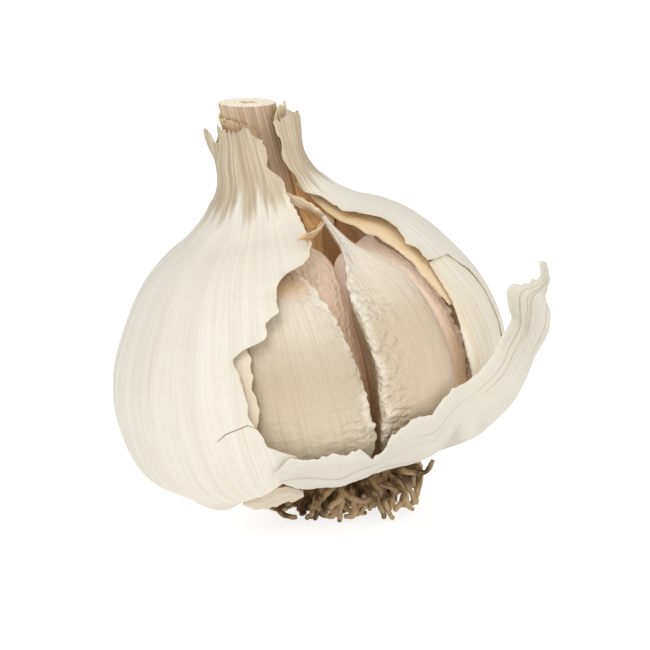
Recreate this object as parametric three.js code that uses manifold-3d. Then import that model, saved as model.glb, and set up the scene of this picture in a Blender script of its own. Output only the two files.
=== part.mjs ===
// Garlic bulb, leaning on its belly and its root tuft, with the skin torn open at the front.
// Millimetres, +Z up, floor at z = 0. Shapes are built upright in the bulb's own frame
// (x right, d toward the front, h along the stem) and are then leaned and set on the floor.
import * as THREE from 'three';
import { mergeVertices } from 'three/addons/utils/BufferGeometryUtils.js';
import Module from 'manifold-3d';

// driving dimensions, mm and degrees
const bulbRadius = 29.6;       // widest radius of the dry outer skin
const leanAngle = 14.05;       // the stem leans toward -X
const plateLift = 6.2;         // underside centre of the root plate above the floor
const centreX = -2.05;         // footprint centre, seen from the root plate
const centreY = -0.15;
const skinThick = 0.65;        // dry skins are drawn thicker than paper so that they are solid
const leafThick = 0.6;
const stemRadius = 4;
const stemTop = 56.5;
const plateRadius = 8.4;
const rootRadius = 0.6;
const rootCount = 48;
const rootReach = 12.4;
const sideSkew = 0.03;         // the bulb is a little fuller on its left

const rad = THREE.MathUtils.degToRad;
const lerp = THREE.MathUtils.lerp;
const clamp = THREE.MathUtils.clamp;
const smooth = (a, b, x) => THREE.MathUtils.smoothstep(x, a, b);

// skin profile from the root plate to the neck: [radius, height]
const profile = [
  [9.6, -0.2], [13.4, 0.3], [17.6, 1.1], [21.8, 2.3], [24.9, 3.7], [27.2, 5.7],
  [28.5, 7.8], [29.1, 9.9], [29.4, 11.9], [bulbRadius, 15.8], [29.2, 19.3], [28.2, 22.8],
  [26.7, 26], [24.3, 29.9], [22.2, 32.7], [19.8, 35.1], [16.8, 37.2], [13.8, 38.7],
  [11.9, 40], [10.1, 41.5], [8.8, 43], [7.7, 44.3], [6.9, 46.2], [6.55, 48.2],
  [6.3, 51], [6.1, 54], [6, 57],
];

// smooth curve through a list of number lists, t counts the points
function curveAt(points, t) {
  const last = points.length - 1;
  const i = clamp(Math.floor(t), 0, last - 1);
  const f = t - i;
  const a = points[Math.max(i - 1, 0)];
  const b = points[i];
  const c = points[i + 1];
  const d = points[Math.min(i + 2, last)];
  return b.map((value, k) => value
    + 0.5 * f * (c[k] - a[k]
    + f * (2 * a[k] - 5 * value + 4 * c[k] - d[k]
    + f * (3 * value - a[k] - 3 * c[k] + d[k]))));
}

// straight stretches between [key, value] pairs, keys rising
function along(pairs, key) {
  if (key <= pairs[0][0]) return pairs[0][1];
  for (let i = 1; i < pairs.length; i++) {
    const [k1, v1] = pairs[i];
    const [k0, v0] = pairs[i - 1];
    if (key <= k1) return lerp(v0, v1, (key - k0) / (k1 - k0));
  }
  return pairs[pairs.length - 1][1];
}

// radius, height and outward normal of the skin profile at a height
function skinAt(height) {
  let low = 0;
  let high = profile.length - 1;
  for (let i = 0; i < 24; i++) {
    const mid = (low + high) / 2;
    if (curveAt(profile, mid)[1] < height) low = mid;
    else high = mid;
  }
  const [r, h] = curveAt(profile, low);
  const [r2, h2] = curveAt(profile, Math.min(low + 0.02, profile.length - 1));
  const [r1, h1] = curveAt(profile, Math.max(low - 0.02, 0));
  const length = Math.hypot(r2 - r1, h2 - h1);
  return { r, h, nr: (h2 - h1) / length, nh: -(r2 - r1) / length };
}

// how far two azimuths are apart, degrees
function turnBetween(a, b) {
  return Math.abs(((a - b + 540) % 360) - 180);
}

const cloveEdges = [-21.5, 18, 50, 101, 141, 180.5, 220, 260, 298];
const grooveDepth = 0.45;
const grooveWidth = 9;
const sagTurn = -90;           // the belly sags where the bulb lies on it
const sagDepth = 3.8;
const sagRadius = 18.5;
const sagReach = 7.5;
const sagTop = 12;
// the torn neck stands off the stem on both sides
const leftFlap = { turn: -97, spread: 17, out: 2.2 };
const rightFlap = { turn: 78, spread: 45, out: 1.2 };
const flareStart = 47.5;
const flareEnd = 53;
// between them, at the left, the neck closes in on the stem
const neckPinch = { turn: -75, spread: 75, deepest: 1.05 };

// point of the skin, moved out by offset; azimuth 0 is the front, 90 the right
function skinPoint(turn, height, offset) {
  const { r, h, nr, nh } = skinAt(height);
  const fullness = 1 - sideSkew * Math.sin(rad(turn));
  const nearest = Math.min(...cloveEdges.map((edge) => turnBetween(turn, edge)));
  const groove = Math.max(0, 1 - nearest / grooveWidth) ** 2
    * smooth(2, 8, h) * (1 - smooth(28, 40, h));
  const sag = sagDepth * Math.cos(rad(Math.min(90, turnBetween(turn, sagTurn) * 2))) ** 2
    * Math.cos(Math.PI / 2 * clamp((r - sagRadius) / sagReach, -1, 1)) ** 2 * (h < sagTop ? 1 : 0);
  const standOff = (flap) => flap.out * Math.max(0, 1 - turnBetween(turn, flap.turn) / flap.spread);
  const pinch = neckPinch.deepest
    * smooth(0, 0.6, 1 - turnBetween(turn, neckPinch.turn) / neckPinch.spread);
  const flare = smooth(flareStart, flareEnd, h) * (standOff(leftFlap) + standOff(rightFlap) - pinch);
  const radius = r * fullness - grooveDepth * groove + flare + offset * nr;
  return polar(turn, radius, h - sag + offset * nh);
}

// bulb-frame point from azimuth, radius and height
function polar(turn, radius, height) {
  return new THREE.Vector3(radius * Math.sin(rad(turn)), radius * Math.cos(rad(turn)), height);
}

// bulb frame (x, d, h) to the leaning bulb on the floor
const leanCos = Math.cos(rad(leanAngle));
const leanSin = Math.sin(rad(leanAngle));
function place(p) {
  return new THREE.Vector3(
    p.x * leanCos - p.z * leanSin - centreX,
    -p.y - centreY,
    p.x * leanSin + p.z * leanCos + plateLift,
  );
}

// closed geometry from points and triangles, turned to face out
function closedBody(points, faces) {
  let volume = 0;
  for (const [a, b, c] of faces) {
    volume += points[a].dot(new THREE.Vector3().crossVectors(points[b], points[c]));
  }
  const geometry = new THREE.BufferGeometry();
  geometry.setAttribute('position', new THREE.Float32BufferAttribute(
    points.flatMap((p) => [p.x, p.y, p.z]), 3));
  geometry.setIndex(faces.flatMap(([a, b, c]) => (volume < 0 ? [a, c, b] : [a, b, c])));
  return geometry;
}

// a leaf: outer and inner sheets over the same rows, split alike, with a rim round them
function leafBody(outer, inner) {
  const rows = outer.length;
  const columns = outer[0].length;
  const points = [...outer.flat(), ...inner.flat()];
  const back = rows * columns;
  const faces = [];
  const at = (i, j) => i * columns + j;
  for (let i = 0; i < rows - 1; i++) {
    for (let j = 0; j < columns - 1; j++) {
      const [a, b, c, d] = [at(i, j), at(i, j + 1), at(i + 1, j + 1), at(i + 1, j)];
      faces.push([a, b, c], [a, c, d], [back + a, back + c, back + b], [back + a, back + d, back + c]);
    }
  }
  const rim = (a, b) => faces.push([b, a, back + a], [b, back + a, back + b]);
  for (let j = 0; j < columns - 1; j++) {
    rim(at(0, j), at(0, j + 1));
    rim(at(rows - 1, j + 1), at(rows - 1, j));
  }
  for (let i = 0; i < rows - 1; i++) {
    rim(at(i + 1, 0), at(i, 0));
    rim(at(i, columns - 1), at(i + 1, columns - 1));
  }
  return closedBody(points, faces);
}

// closed body through rings of equal count, closed by a fan at each end
function loftBody(rings) {
  const n = rings[0].length;
  const points = rings.flat();
  const faces = [];
  for (let i = 0; i < rings.length - 1; i++) {
    for (let j = 0; j < n; j++) {
      const k = (j + 1) % n;
      faces.push([i * n + j, i * n + k, (i + 1) * n + k], [i * n + j, (i + 1) * n + k, (i + 1) * n + j]);
    }
  }
  const middle = (ring) => ring.reduce((sum, p) => sum.add(p), new THREE.Vector3()).divideScalar(n);
  const first = points.push(middle(rings[0])) - 1;
  const last = points.push(middle(rings[rings.length - 1])) - 1;
  const top = (rings.length - 1) * n;
  for (let j = 0; j < n; j++) {
    const k = (j + 1) % n;
    faces.push([first, k, j], [last, top + j, top + k]);
  }
  return closedBody(points, faces);
}

// half outline of a clove's cross-section: [share of the depth, share of the half width]
const cloveOutline = [
  [0.03, 0.2], [0.15, 0.38], [0.4, 0.58], [0.65, 0.83], [0.84, 1], [0.94, 0.78], [0.985, 0.44],
];

// one clove from its stations [height, outer radius, half width, inner radius, outer turn, inner turn]
function cloveBody(stations, levels) {
  const rings = [];
  for (let i = 0; i <= levels; i++) {
    const t = (i / levels) * (stations.length - 1);
    const [h, outer, half, inner, outerTurn, innerTurn] = curveAt(stations, t);
    const back = polar(innerTurn, inner, h);
    const front = polar(outerTurn, outer, h);
    const depth = new THREE.Vector3().subVectors(front, back);
    const side = polar(outerTurn + 90, 1, 0);
    const point = (share, width) => back.clone().addScaledVector(depth, share)
      .addScaledVector(side, half * width);
    rings.push([
      point(0, 0),
      ...cloveOutline.map(([share, width]) => point(share, width)),
      point(1, 0),
      ...[...cloveOutline].reverse().map(([share, width]) => point(share, -width)),
    ].map(place));
  }
  return loftBody(rings);
}

const frontClove = [
  [1.9, 11, 2, 6.9, -1, -6], [3, 18.6, 4.4, 7.4, -1.5, -10], [5, 23.6, 6.4, 9.6, -1.5, -15],
  [8, 26.4, 8, 11.4, -1.5, -19], [12, 27.3, 8.8, 12.6, -1.2, -22], [16, 27.4, 8.8, 13, -1.2, -22],
  [20, 26.8, 8.5, 13, -1.2, -22], [24, 25.4, 7.7, 13, -1.5, -22], [27.5, 23.6, 6.7, 13, -1.5, -21],
  [30.5, 21.4, 5.3, 13.2, -1.5, -18], [32.6, 19.4, 3.7, 13.8, -1.5, -12], [33.8, 17.8, 1.8, 14.8, -2, -6],
  [34.2, 16.8, 0.7, 15.6, -2, -2],
];
const rightClove = [
  [2.2, 11, 1.6, 7.2, 34, 34], [3.4, 18.4, 3.7, 8.4, 33, 34], [5.4, 23.2, 5.2, 10.8, 33, 34],
  [8, 25.8, 6.2, 13, 33.4, 34], [12, 27.3, 6.6, 15, 34.6, 34], [16, 27.7, 6.5, 15.6, 35.6, 34],
  [20, 27.2, 6.2, 15.6, 36.4, 34.5], [24, 25.8, 6, 15.4, 36.2, 34.5], [28, 23.4, 5.4, 15.6, 36.2, 35],
  [30, 21.4, 4.6, 15.6, 36.6, 36], [31.5, 19.6, 3.5, 15.4, 37.2, 37], [33, 17.7, 2.3, 14.6, 37.8, 38],
  [34.3, 15.9, 1.3, 13.6, 38.6, 38.8], [35.8, 14, 0.8, 12.2, 39.6, 39.6],
  [37.4, 12.2, 0.55, 10.9, 40.4, 40.4], [38.8, 11, 0.4, 10.2, 41, 41],
];
const sideClove = [
  [2.1, 11, 2, 7, 80, 82], [3.4, 18, 4, 8, 81, 85], [5.6, 22.8, 5.9, 9.6, 82, 88],
  [8.4, 25.2, 7.3, 11.2, 82.3, 90], [12, 26.3, 7.9, 12.6, 82.3, 91], [16, 26.7, 8.1, 13, 82.3, 91],
  [20, 26.1, 7.8, 13, 82.7, 91], [24, 24.6, 7.2, 12.8, 83.5, 91], [28, 22, 5.8, 12.2, 84, 90],
  [31, 19.4, 4.3, 11.4, 84.5, 88], [33.4, 16.6, 2.7, 10.8, 84.5, 87], [35.2, 13.8, 1.4, 10.2, 84, 85],
  [36.2, 12, 0.6, 10.4, 83, 83],
];
const innerFrontClove = [
  [2.4, 9.6, 1, 6.9, 15, 15], [4, 13.4, 1.7, 6.8, 15, 15], [8, 17.4, 2.1, 6.9, 16, 15],
  [13, 19.6, 2.2, 7, 17.5, 14], [18, 20.2, 2.3, 7, 17.5, 14], [24, 19.2, 2.6, 7, 17.5, 14],
  [28, 17.6, 3, 7, 17.5, 14], [31, 15.6, 3.2, 7, 17, 14], [33.4, 13.2, 3, 7, 16, 14],
  [35, 10.8, 1.8, 7.2, 15, 15], [35.9, 9.4, 0.7, 7.8, 15, 15],
];
const innerRightClove = [
  [2.4, 9.6, 1, 6.9, 54, 54], [4, 15.5, 1.6, 6.8, 55, 54.5], [8, 23.2, 2.5, 7, 57, 55.5],
  [13, 25.4, 3.1, 7.2, 57.5, 56], [18, 25.5, 3.2, 7.2, 57.7, 56], [23, 24.1, 3.3, 7.4, 58, 56.5],
  [27, 21.6, 3.3, 7.6, 58.5, 57.5], [30, 18.6, 3.1, 7.8, 60, 59], [31.8, 16.2, 2.3, 8.8, 62, 62],
  [32.8, 14.7, 1.2, 11, 66, 66], [33.8, 14.1, 0.5, 13, 69, 69],
];

// the cloves under the whole skin follow one rule
const hiddenClove = [
  [2.3, 11, 0.24, 6.9], [3.7, 18.2, 0.5, 7.4], [6.4, 23.6, 0.76, 9], [10, 26.3, 0.94, 10.4],
  [16, 27, 1, 11], [22, 25.6, 0.92, 10.8], [27, 22.8, 0.77, 10.2], [31, 19, 0.55, 9.8],
  [34, 14.8, 0.3, 9.4], [35.8, 11.6, 0.1, 9.8],
];
const hiddenCloves = [
  ['clove_back_right', 121, 8.4], ['clove_back', 161, 8.2], ['clove_back_left', 200.5, 8.1],
  ['clove_left_back', 240, 8.1], ['clove_left', 279, 8.1], ['clove_left_front', 317.6, 7.9],
];
function hiddenStations(turn, half) {
  const fullness = 1 - sideSkew * Math.sin(rad(turn));
  return hiddenClove.map(([h, outer, share, inner]) => [
    h, outer * fullness, half * share, inner, turn, turn]);
}

// torn edges of the outer skin: [height, azimuth], root plate to neck
const leftTear = [
  [-0.2, -56], [0.6, -54], [1.7, -50], [2.6, -42], [3.4, -33], [4.4, -24], [5.4, -18], [7.6, -11],
  [10.1, -7], [11.3, -10.5],
  [12.5, -14.5], [15.6, -16.5], [17, -18], [18.8, -17], [20.8, -18], [23.3, -18.5], [25.2, -20],
  [26, -17.5], [26.4, -14.5], [26.7, -11], [27.1, -8.5], [28.9, -9], [29.4, -6.5], [29.8, -3.5],
  [32.8, -3], [33.6, -2], [34.3, 3], [34.6, 9], [35.3, 13.5], [38.2, 18], [39.7, 18.5],
  [44.6, 20], [46.5, 15.5], [47.8, 7], [51.6, 11], [54, 12],
];
const rightTear = [
  [-0.2, 62], [1.1, 64], [3, 68], [5, 71], [8, 74], [12, 78], [16.1, 81], [22.2, 82.5],
  [25.2, 80], [27.4, 76], [28.8, 74], [29.2, 66], [29.6, 58], [30.3, 57.5], [31.7, 57.5], [32.8, 56],
  [33.7, 57], [34.7, 59], [36.4, 58.5], [37.4, 55], [38.2, 53.5], [38.8, 49], [39.6, 50.5], [41.4, 45.5],
  [42.1, 40], [42.6, 34.5], [45.3, 36], [47.8, 31], [51.5, 30], [54, 29.5],
];
// ragged top of the neck: [azimuth, height]
const neckRim = [
  [30, 53.5], [45, 54.1], [60, 54.5], [80, 53.8], [105, 53], [130, 52.2], [160, 53], [190, 52.2],
  [220, 53], [246, 53], [254, 51.6], [266, 54.3], [271, 54], [274, 51.8], [279, 52.2], [284, 54.2],
  [300, 54], [325, 53.5], [343, 53.9], [350, 54.2],
  [355, 53.7], [359, 53.3], [364, 52.2], [371, 51.5], [380, 51.2],
];
const skinHeights = [
  -0.2, 0.3, 0.75, 1.1, 1.45, 1.85, 2.6, 3.4, 4.6, 6, 7.8, 10.1, 11.3, 12.7, 15.6, 17.2, 20, 23.3,
  25.2, 26.1, 26.7, 27.6, 28.9, 29.7, 31.3, 32.8, 33.6, 34.3, 34.8, 35.6, 36.5, 37.4, 38.5, 39.6,
  41.3, 42.5, 44.6, 46.5, 48, 51, 54,
];
const skinColumns = 31;
const neckStart = 45;

// azimuth across the opened skin: share 0 is the right tear, 1 the left tear
function skinTurn(share, height) {
  const [rightMean, leftMean] = [56, 360];
  const turn = lerp(rightMean, leftMean, share);
  const rightShift = along(rightTear, height) - rightMean;
  const leftShift = along(leftTear, height) + 360 - leftMean;
  const fading = (distance, shift) => {
    const reach = Math.max(65, 2.6 * Math.abs(shift));
    return Math.max(0, 1 - distance / reach) ** 2;
  };
  return turn + rightShift * fading(turn - rightMean, rightShift)
    + leftShift * fading(leftMean - turn, leftShift);
}

function outerSkin() {
  const outer = [];
  const inner = [];
  for (const height of skinHeights) {
    const outerRow = [];
    const innerRow = [];
    for (let j = 0; j < skinColumns; j++) {
      const turn = skinTurn(j / (skinColumns - 1), height);
      const rim = (along(neckRim, turn) - neckStart) / (54 - neckStart);
      const h = height > neckStart ? neckStart + (height - neckStart) * rim : height;
      const a = place(skinPoint(turn, h, 0));
      const b = place(skinPoint(turn, h, -skinThick));
      a.z = Math.max(a.z, 0);
      b.z = Math.max(b.z, 0.95 * skinThick);
      outerRow.push(a);
      innerRow.push(b);
    }
    outer.push(outerRow);
    inner.push(innerRow);
  }
  return leafBody(outer, inner);
}

// a strip of skin between two edges given as [height, azimuth]
function skinStrip(heights, fromEdge, toEdge, columns, offset, thick) {
  const sheet = (depth) => heights.map((h) => Array.from({ length: columns }, (_, j) => {
    const turn = lerp(along(fromEdge, h), along(toEdge, h), j / (columns - 1));
    return place(skinPoint(turn, h, offset - depth));
  }));
  return leafBody(sheet(0), sheet(thick));
}

// second skin layer, its torn edge shows just inside the left tear
const secondTear = [
  [11, -25], [14, -18.5], [16, -16.5], [18, -15], [19.4, -15.5], [21.2, -16.3], [22.7, -15.3],
  [24.3, -15.5], [25.5, -15], [26.5, -16.5], [27.5, -20],
];
const secondBack = [[11, -40], [20, -44], [27.5, -40]];

// tan sheath along the right tear
const sheathTear = [
  [23.4, 57], [24.6, 56.2], [26.5, 55], [28.8, 54.5], [30.6, 55], [32.2, 54], [33.6, 52.5],
  [35.6, 51.5], [36.4, 49], [37.8, 49], [39, 46.5], [40.8, 46.5], [42.8, 48], [44.4, 41],
];
const sheathBack = [
  [23.4, 58], [25.4, 59.6], [28, 62], [29, 64], [29.6, 68], [30.6, 74], [33, 80], [36, 84], [44.4, 82],
];

// skin over the side clove, its free edge runs down the clove's ridge
const sideRidge = [
  [4.6, 62], [6.4, 58], [8.6, 55.8], [11.4, 54.4], [14.2, 53.6], [16.5, 53.6], [19.5, 54.4], [22, 57.2],
  [23.4, 59.2], [25.4, 61], [27.4, 63], [28.8, 66],
];
const sideBack = [[4.6, 92], [28.8, 94]];

// upright leaf round the stem. Rows: [height, first radius, last radius, first turn, last turn]
function wallStrip(rows, columns) {
  const wallPoint = ([h, r0, r1, turn0, turn1], share, depth) => place(
    polar(lerp(turn0, turn1, share), lerp(r0, r1, share) - depth, h));
  const sheet = (depth) => rows.map((row) => Array.from(
    { length: columns }, (_, j) => wallPoint(row, j / (columns - 1), depth)));
  return leafBody(sheet(0), sheet(leafThick));
}
// dry wall at the back of the opening
const coreRows = [
  [37, 7.6, 11.2, 34, 136], [38.5, 6.9, 9.4, 36, 136], [40, 6.2, 7.8, 40, 134], [42, 5.7, 6.4, 46, 134],
  [44, 5.4, 5.7, 50, 132], [46.5, 5.2, 5.3, 56, 130],
];
// brown sleeve round the stem, deep in the opening
const sleeveRows = [
  [25, 5.2, 5.2, -30, 150], [30, 5.3, 5.4, -32, 152], [34, 5.5, 5.8, -28, 152], [36.4, 5.9, 6.6, -16, 148],
];
// scale of the neck, standing at the right of the stem top
const scaleRows = [
  [51.5, 5.2, 5.2, 52, 84], [52.8, 5.2, 5.2, 46, 88], [54, 5.3, 5.3, 44, 92], [55, 5.6, 5.5, 50, 94],
  [55.8, 5.8, 5.6, 62, 88],
];

// peeled skin: from the collar under the front clove to the raised tip on the right.
// Stations [top x, d, h], [bottom x, d, h] and, where it still meets the plate, an azimuth there.
const peelStations = [
  [[-8, 29, 8.2], [-6.6, 29.1, 7], -12], [[-6.2, 29.5, 9.4], [-5.7, 28.9, 6.8], -10.5],
  [[-4.6, 29.7, 10.1], [-4.4, 28.6, 6.6], -9.5], [[-2.6, 29.6, 9.7], [-2.4, 28, 6], -7],
  [[0.8, 29.4, 9.5], [0.7, 27.2, 4.8], 1], [[2.8, 29.2, 8.9], [2.8, 27.2, 5.2], 7],
  [[5.1, 28.8, 8.8], [4.7, 27, 5.5], 13], [[6.3, 27.8, 7.1], [6.3, 26.8, 5.8], 18],
  [[8, 27, 7.6], [7.8, 25.6, 5.8], 22], [[9.5, 26.8, 9.1], [9.2, 24.9, 5.6], 26],
  [[12.4, 25.6, 10.5], [12, 24, 5.2], 32], [[15.3, 24, 10.5], [15.4, 23, 4.8], 39],
  [[19, 21.7, 12.1], [19.3, 22, 4.7]], [[22.3, 19.6, 13], [23.4, 20.8, 5.9]],
  [[26, 17.5, 14.8], [27.4, 19.5, 8.1]], [[27.9, 16.5, 17.1], [29.9, 19, 10.7]],
  [[30, 16.5, 19.4], [31.8, 19, 13.5]], [[30, 17, 21.5], [34.5, 19.5, 16.7]],
  [[31.1, 17.5, 23.8], [35.3, 19.5, 19.4]], [[33.9, 17.5, 24.1], [34.9, 19, 21.6]],
  [[35.4, 17.5, 24.6], [36.1, 18.5, 23.6]], [[35.7, 17.5, 26.9], [36.3, 18, 26.1]],
];
const peelColumns = 8;
const plateEdge = { radius: 13.6, height: 1, sag: 0.65 };
const peelBulge = 0.7;

function peeledSkin() {
  const centre = peelStations.map(([top, bottom, turn]) => {
    const a = new THREE.Vector3(...top);
    const b = new THREE.Vector3(...bottom);
    const row = [];
    const out = new THREE.Vector3(a.x + b.x, a.y + b.y, 0).normalize();
    for (let k = 0; k < peelColumns; k++) {
      if (turn === undefined) {
        const t = k / (peelColumns - 1);
        row.push(b.clone().lerp(a, t).addScaledVector(out, peelBulge * Math.sin(Math.PI * t)));
      } else if (k < 3) {
        const t = k / 3;
        const root = polar(turn, plateEdge.radius, plateEdge.height);
        row.push(root.lerp(b, t).add(new THREE.Vector3(0, 0, -plateEdge.sag * Math.sin(Math.PI * t))));
      } else {
        const t = (k - 3) / (peelColumns - 4);
        row.push(b.clone().lerp(a, t).addScaledVector(out, peelBulge * 0.6 * Math.sin(Math.PI * t)));
      }
    }
    return row;
  });
  const shift = (depth) => centre.map((row, i) => row.map((p, k) => {
    const alongLeaf = new THREE.Vector3().subVectors(
      centre[Math.min(i + 1, centre.length - 1)][k], centre[Math.max(i - 1, 0)][k]);
    const acrossLeaf = new THREE.Vector3().subVectors(
      row[Math.min(k + 1, peelColumns - 1)], row[Math.max(k - 1, 0)]);
    const normal = new THREE.Vector3().crossVectors(alongLeaf, acrossLeaf).normalize();
    return place(p.clone().addScaledVector(normal, depth));
  }));
  return leafBody(shift(leafThick / 2), shift(-leafThick / 2));
}

// ribbon of even width along a path, thickness across it
function ribbonBody(path, widthAcross, thick) {
  const rings = path.map(([x, d, h, wx, wd, wh, share], i) => {
    const here = new THREE.Vector3(x, d, h);
    const before = new THREE.Vector3(...path[Math.max(i - 1, 0)].slice(0, 3));
    const after = new THREE.Vector3(...path[Math.min(i + 1, path.length - 1)].slice(0, 3));
    const run = after.sub(before).normalize();
    const across = new THREE.Vector3(wx, wd, wh).normalize().multiplyScalar(widthAcross * share / 2);
    const depth = new THREE.Vector3().crossVectors(run, across).normalize().multiplyScalar(thick / 2);
    return [
      here.clone().add(across).add(depth), here.clone().addScaledVector(depth, 1.15),
      here.clone().sub(across).add(depth), here.clone().sub(across).sub(depth),
      here.clone().addScaledVector(depth, -1.15), here.clone().add(across).sub(depth),
    ].map(place);
  });
  return loftBody(rings);
}

// dried tail of an inner leaf, twisted in front of the stem: x, d, h, width direction, share
const tailPath = [
  [1.2, 5.8, 42.9, 0, 0.2, 1, 0.5], [2.8, 6.2, 42.1, 0.3, 0.1, 1, 1], [4.2, 6.6, 41.2, 0.5, 0.3, 1, 1],
  [5.6, 6.8, 40.1, 0.4, 0.9, 1, 0.9], [6.6, 6.7, 39, 0.2, 0.8, 1, 0.9], [7.5, 6.1, 38, 0.1, 0.3, 1, 0.7],
  [8.3, 5.6, 37.1, 0.1, 0.3, 1, 0.4],
];
const tailWidth = 1.6;
// torn shred of skin under the belly, beside the roots
const shredPath = [
  [-14.4, 12.8, 1, 0.1, 0, 1, 0.5], [-12.6, 13.2, 0.5, 0.1, 0.2, 1, 1.2],
  [-10.6, 13.6, 0.6, 0.1, 0.2, 1, 1.5], [-8.8, 13.9, 0.9, 0.1, 0.2, 1, 1.7],
  [-7, 14.1, 0.9, 0.1, 0.1, 1, 1.4], [-5.4, 14.1, 0.6, 0.1, 0, 1, 0.6],
];
const shredWidth = 1.5;

const stemSides = 26;
// [height, radius]
const stemProfile = [
  [1.6, 4.4], [6, stemRadius], [16, 3.9], [28, 3.9], [38, stemRadius], [46, stemRadius], [52, 4.05],
  [stemTop - 0.7, 4.05], [stemTop, 3.9], [stemTop + 0.05, 2.6], [stemTop - 0.05, 1.2], [stemTop - 0.7, 0.7],
];
const ribDepth = 0.12;
const cutStart = 49;           // above this the stem's rings turn level with the floor
const cutEnd = 55.3;
function stemBody() {
  const rings = stemProfile.map(([h, r]) => Array.from({ length: stemSides }, (_, j) => {
    const turn = (360 * j) / stemSides;
    const rib = r > 3 ? ribDepth * Math.sin(rad(turn * 13)) + 0.08 * Math.sin(rad(turn * 5)) : 0;
    const level = smooth(cutStart, cutEnd, h) * Math.tan(rad(leanAngle)) * r * Math.sin(rad(turn));
    return place(polar(turn, r + rib, h - level));
  }));
  return loftBody(rings);
}

// solids for joining the roots to their plate
const wasm = await Module();
wasm.setup();

function toManifold(geometry) {
  const bare = geometry.clone();
  bare.deleteAttribute('normal');
  bare.deleteAttribute('uv');
  const merged = mergeVertices(bare, 1e-4);
  return new wasm.Manifold(new wasm.Mesh({
    numProp: 3,
    vertProperties: new Float32Array(merged.attributes.position.array),
    triVerts: new Uint32Array(merged.index.array),
  }));
}

function fromManifold(solid) {
  const mesh = solid.getMesh();
  const geometry = new THREE.BufferGeometry();
  geometry.setAttribute('position', new THREE.BufferAttribute(new Float32Array(mesh.vertProperties), 3));
  geometry.setIndex(new THREE.BufferAttribute(new Uint32Array(mesh.triVerts), 1));
  return geometry;
}

// repeatable numbers from 0 to 1
function seeded(seed) {
  let state = seed;
  return () => {
    state = (state * 1664525 + 1013904223) % 4294967296;
    return state / 4294967296;
  };
}

const rootSides = 5;
const tipShare = 0.75;
// a root through bulb-frame points, thinning to its tip and flat where it meets the floor
function rootTube(path, radius) {
  const spots = path.map((p) => place(p));
  spots.forEach((p) => { p.z = Math.max(p.z, 0.5 * radius); });
  const rings = spots.map((p, i) => {
    const run = new THREE.Vector3().subVectors(
      spots[Math.min(i + 1, spots.length - 1)], spots[Math.max(i - 1, 0)]).normalize();
    const side = new THREE.Vector3(0.31, -0.22, 0.92).cross(run).normalize();
    const other = new THREE.Vector3().crossVectors(run, side);
    const r = radius * (i === spots.length - 1 ? tipShare : 1);
    return Array.from({ length: rootSides }, (_, j) => {
      const turn = (2 * Math.PI * j) / rootSides;
      const q = p.clone();
      q.addScaledVector(side, r * Math.cos(turn));
      q.addScaledVector(other, r * Math.sin(turn));
      q.z = Math.max(q.z, 0);
      return q;
    });
  });
  return loftBody(rings);
}

// roots placed by eye: the ones that stand out at the front and right
const namedRoots = [
  [[-1.8, 6.4, -0.9], [-3.6, 10.6, -1.2], [-4.2, 12.6, -1.9], [-5.9, 11.6, -4.4]],
  [[0.2, 6.4, -0.9], [-0.6, 10, -2.2], [-1.4, 11.2, -3.8], [-1.8, 11.4, -6.4]],
  [[-4.2, 5.2, -0.9], [-7.6, 9.6, -1.5], [-9.6, 11, -1.7], [-7.2, 11.9, -3.2]],
  [[5.4, 4.4, -0.9], [9.6, 6.6, -1.6], [12.4, 7.6, -2.4], [14, 7.8, -0.9]],
  [[3.6, 5.8, -0.9], [6.5, 9.4, -2.2], [9.2, 9.6, -4.4], [6.6, 9, -6.1]],
  [[5.2, 3.8, -0.9], [8.6, 5.4, -3], [9.6, 5.8, -6.4], [8, 4.4, -8.6]],
  [[5.4, -2.6, -0.9], [8.6, -4.6, -3], [9.4, -5.4, -6.4], [7.8, -6.4, -8.6]],
];
const floorSink = 0.3;         // root tips press this far into the floor before they are flattened
const raisedTurn = 45;         // the roots around this azimuth set off higher

function rootBody() {
  const random = seeded(41);
  const plate = loftBody([
    [1.1, 6], [0.6, 7.8], [-0.5, plateRadius], [-1.4, 7.4], [-1.9, 4],
  ].map(([h, r]) => Array.from({ length: 18 }, (_, j) => place(polar(j * 20, r, h)))));
  let solid = toManifold(plate);
  const roots = namedRoots.map((path) => path.map((p) => new THREE.Vector3(...p)));
  for (let i = 0; i < rootCount; i++) {
    const share = Math.sqrt((i + 0.5) / rootCount);
    const turn = i * 137.5;
    const start = 1.6 + 5 * share;
    const outward = 1.4 + 5 * share ** 2 * (0.75 + 0.5 * random());
    const curl = 44 * (random() - 0.5);
    const reach = (k) => Math.min(rootReach, start + outward * k);
    // the tip comes back in and rests on the floor; the front and right roots set off higher
    const tip = polar(turn + curl * 1.6, reach(0.5 + 0.6 * random()), 0);
    const floor = -(plateLift + tip.x * leanSin) / leanCos;
    const fall = -1.2 - floor + floorSink - 1.8 * random() ** 2;
    const high = share * (1 - smooth(50, 90, turnBetween(turn, raisedTurn)));
    roots.push([
      polar(turn, start, -0.9),
      polar(turn + curl * 0.3, reach(0.6), -1.3 - 0.1 * fall + 0.8 * high),
      polar(turn + curl, reach(1), -1.4 - 0.5 * fall + 1.2 * high),
      tip.setZ(-1.2 - fall),
    ]);
  }
  for (const path of roots) {
    solid = solid.add(toManifold(rootTube(path, rootRadius * (0.85 + 0.3 * random()))));
  }
  return fromManifold(solid);
}

// finishes
const paper = { color: 0xebe6da, roughness: 0.62 };
const innerPaper = { color: 0xd9c9a8, roughness: 0.65 };
const clove = { color: 0xe6d8bf, roughness: 0.38 };
const pinkClove = { color: 0xcdb49d, roughness: 0.4 };

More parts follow.
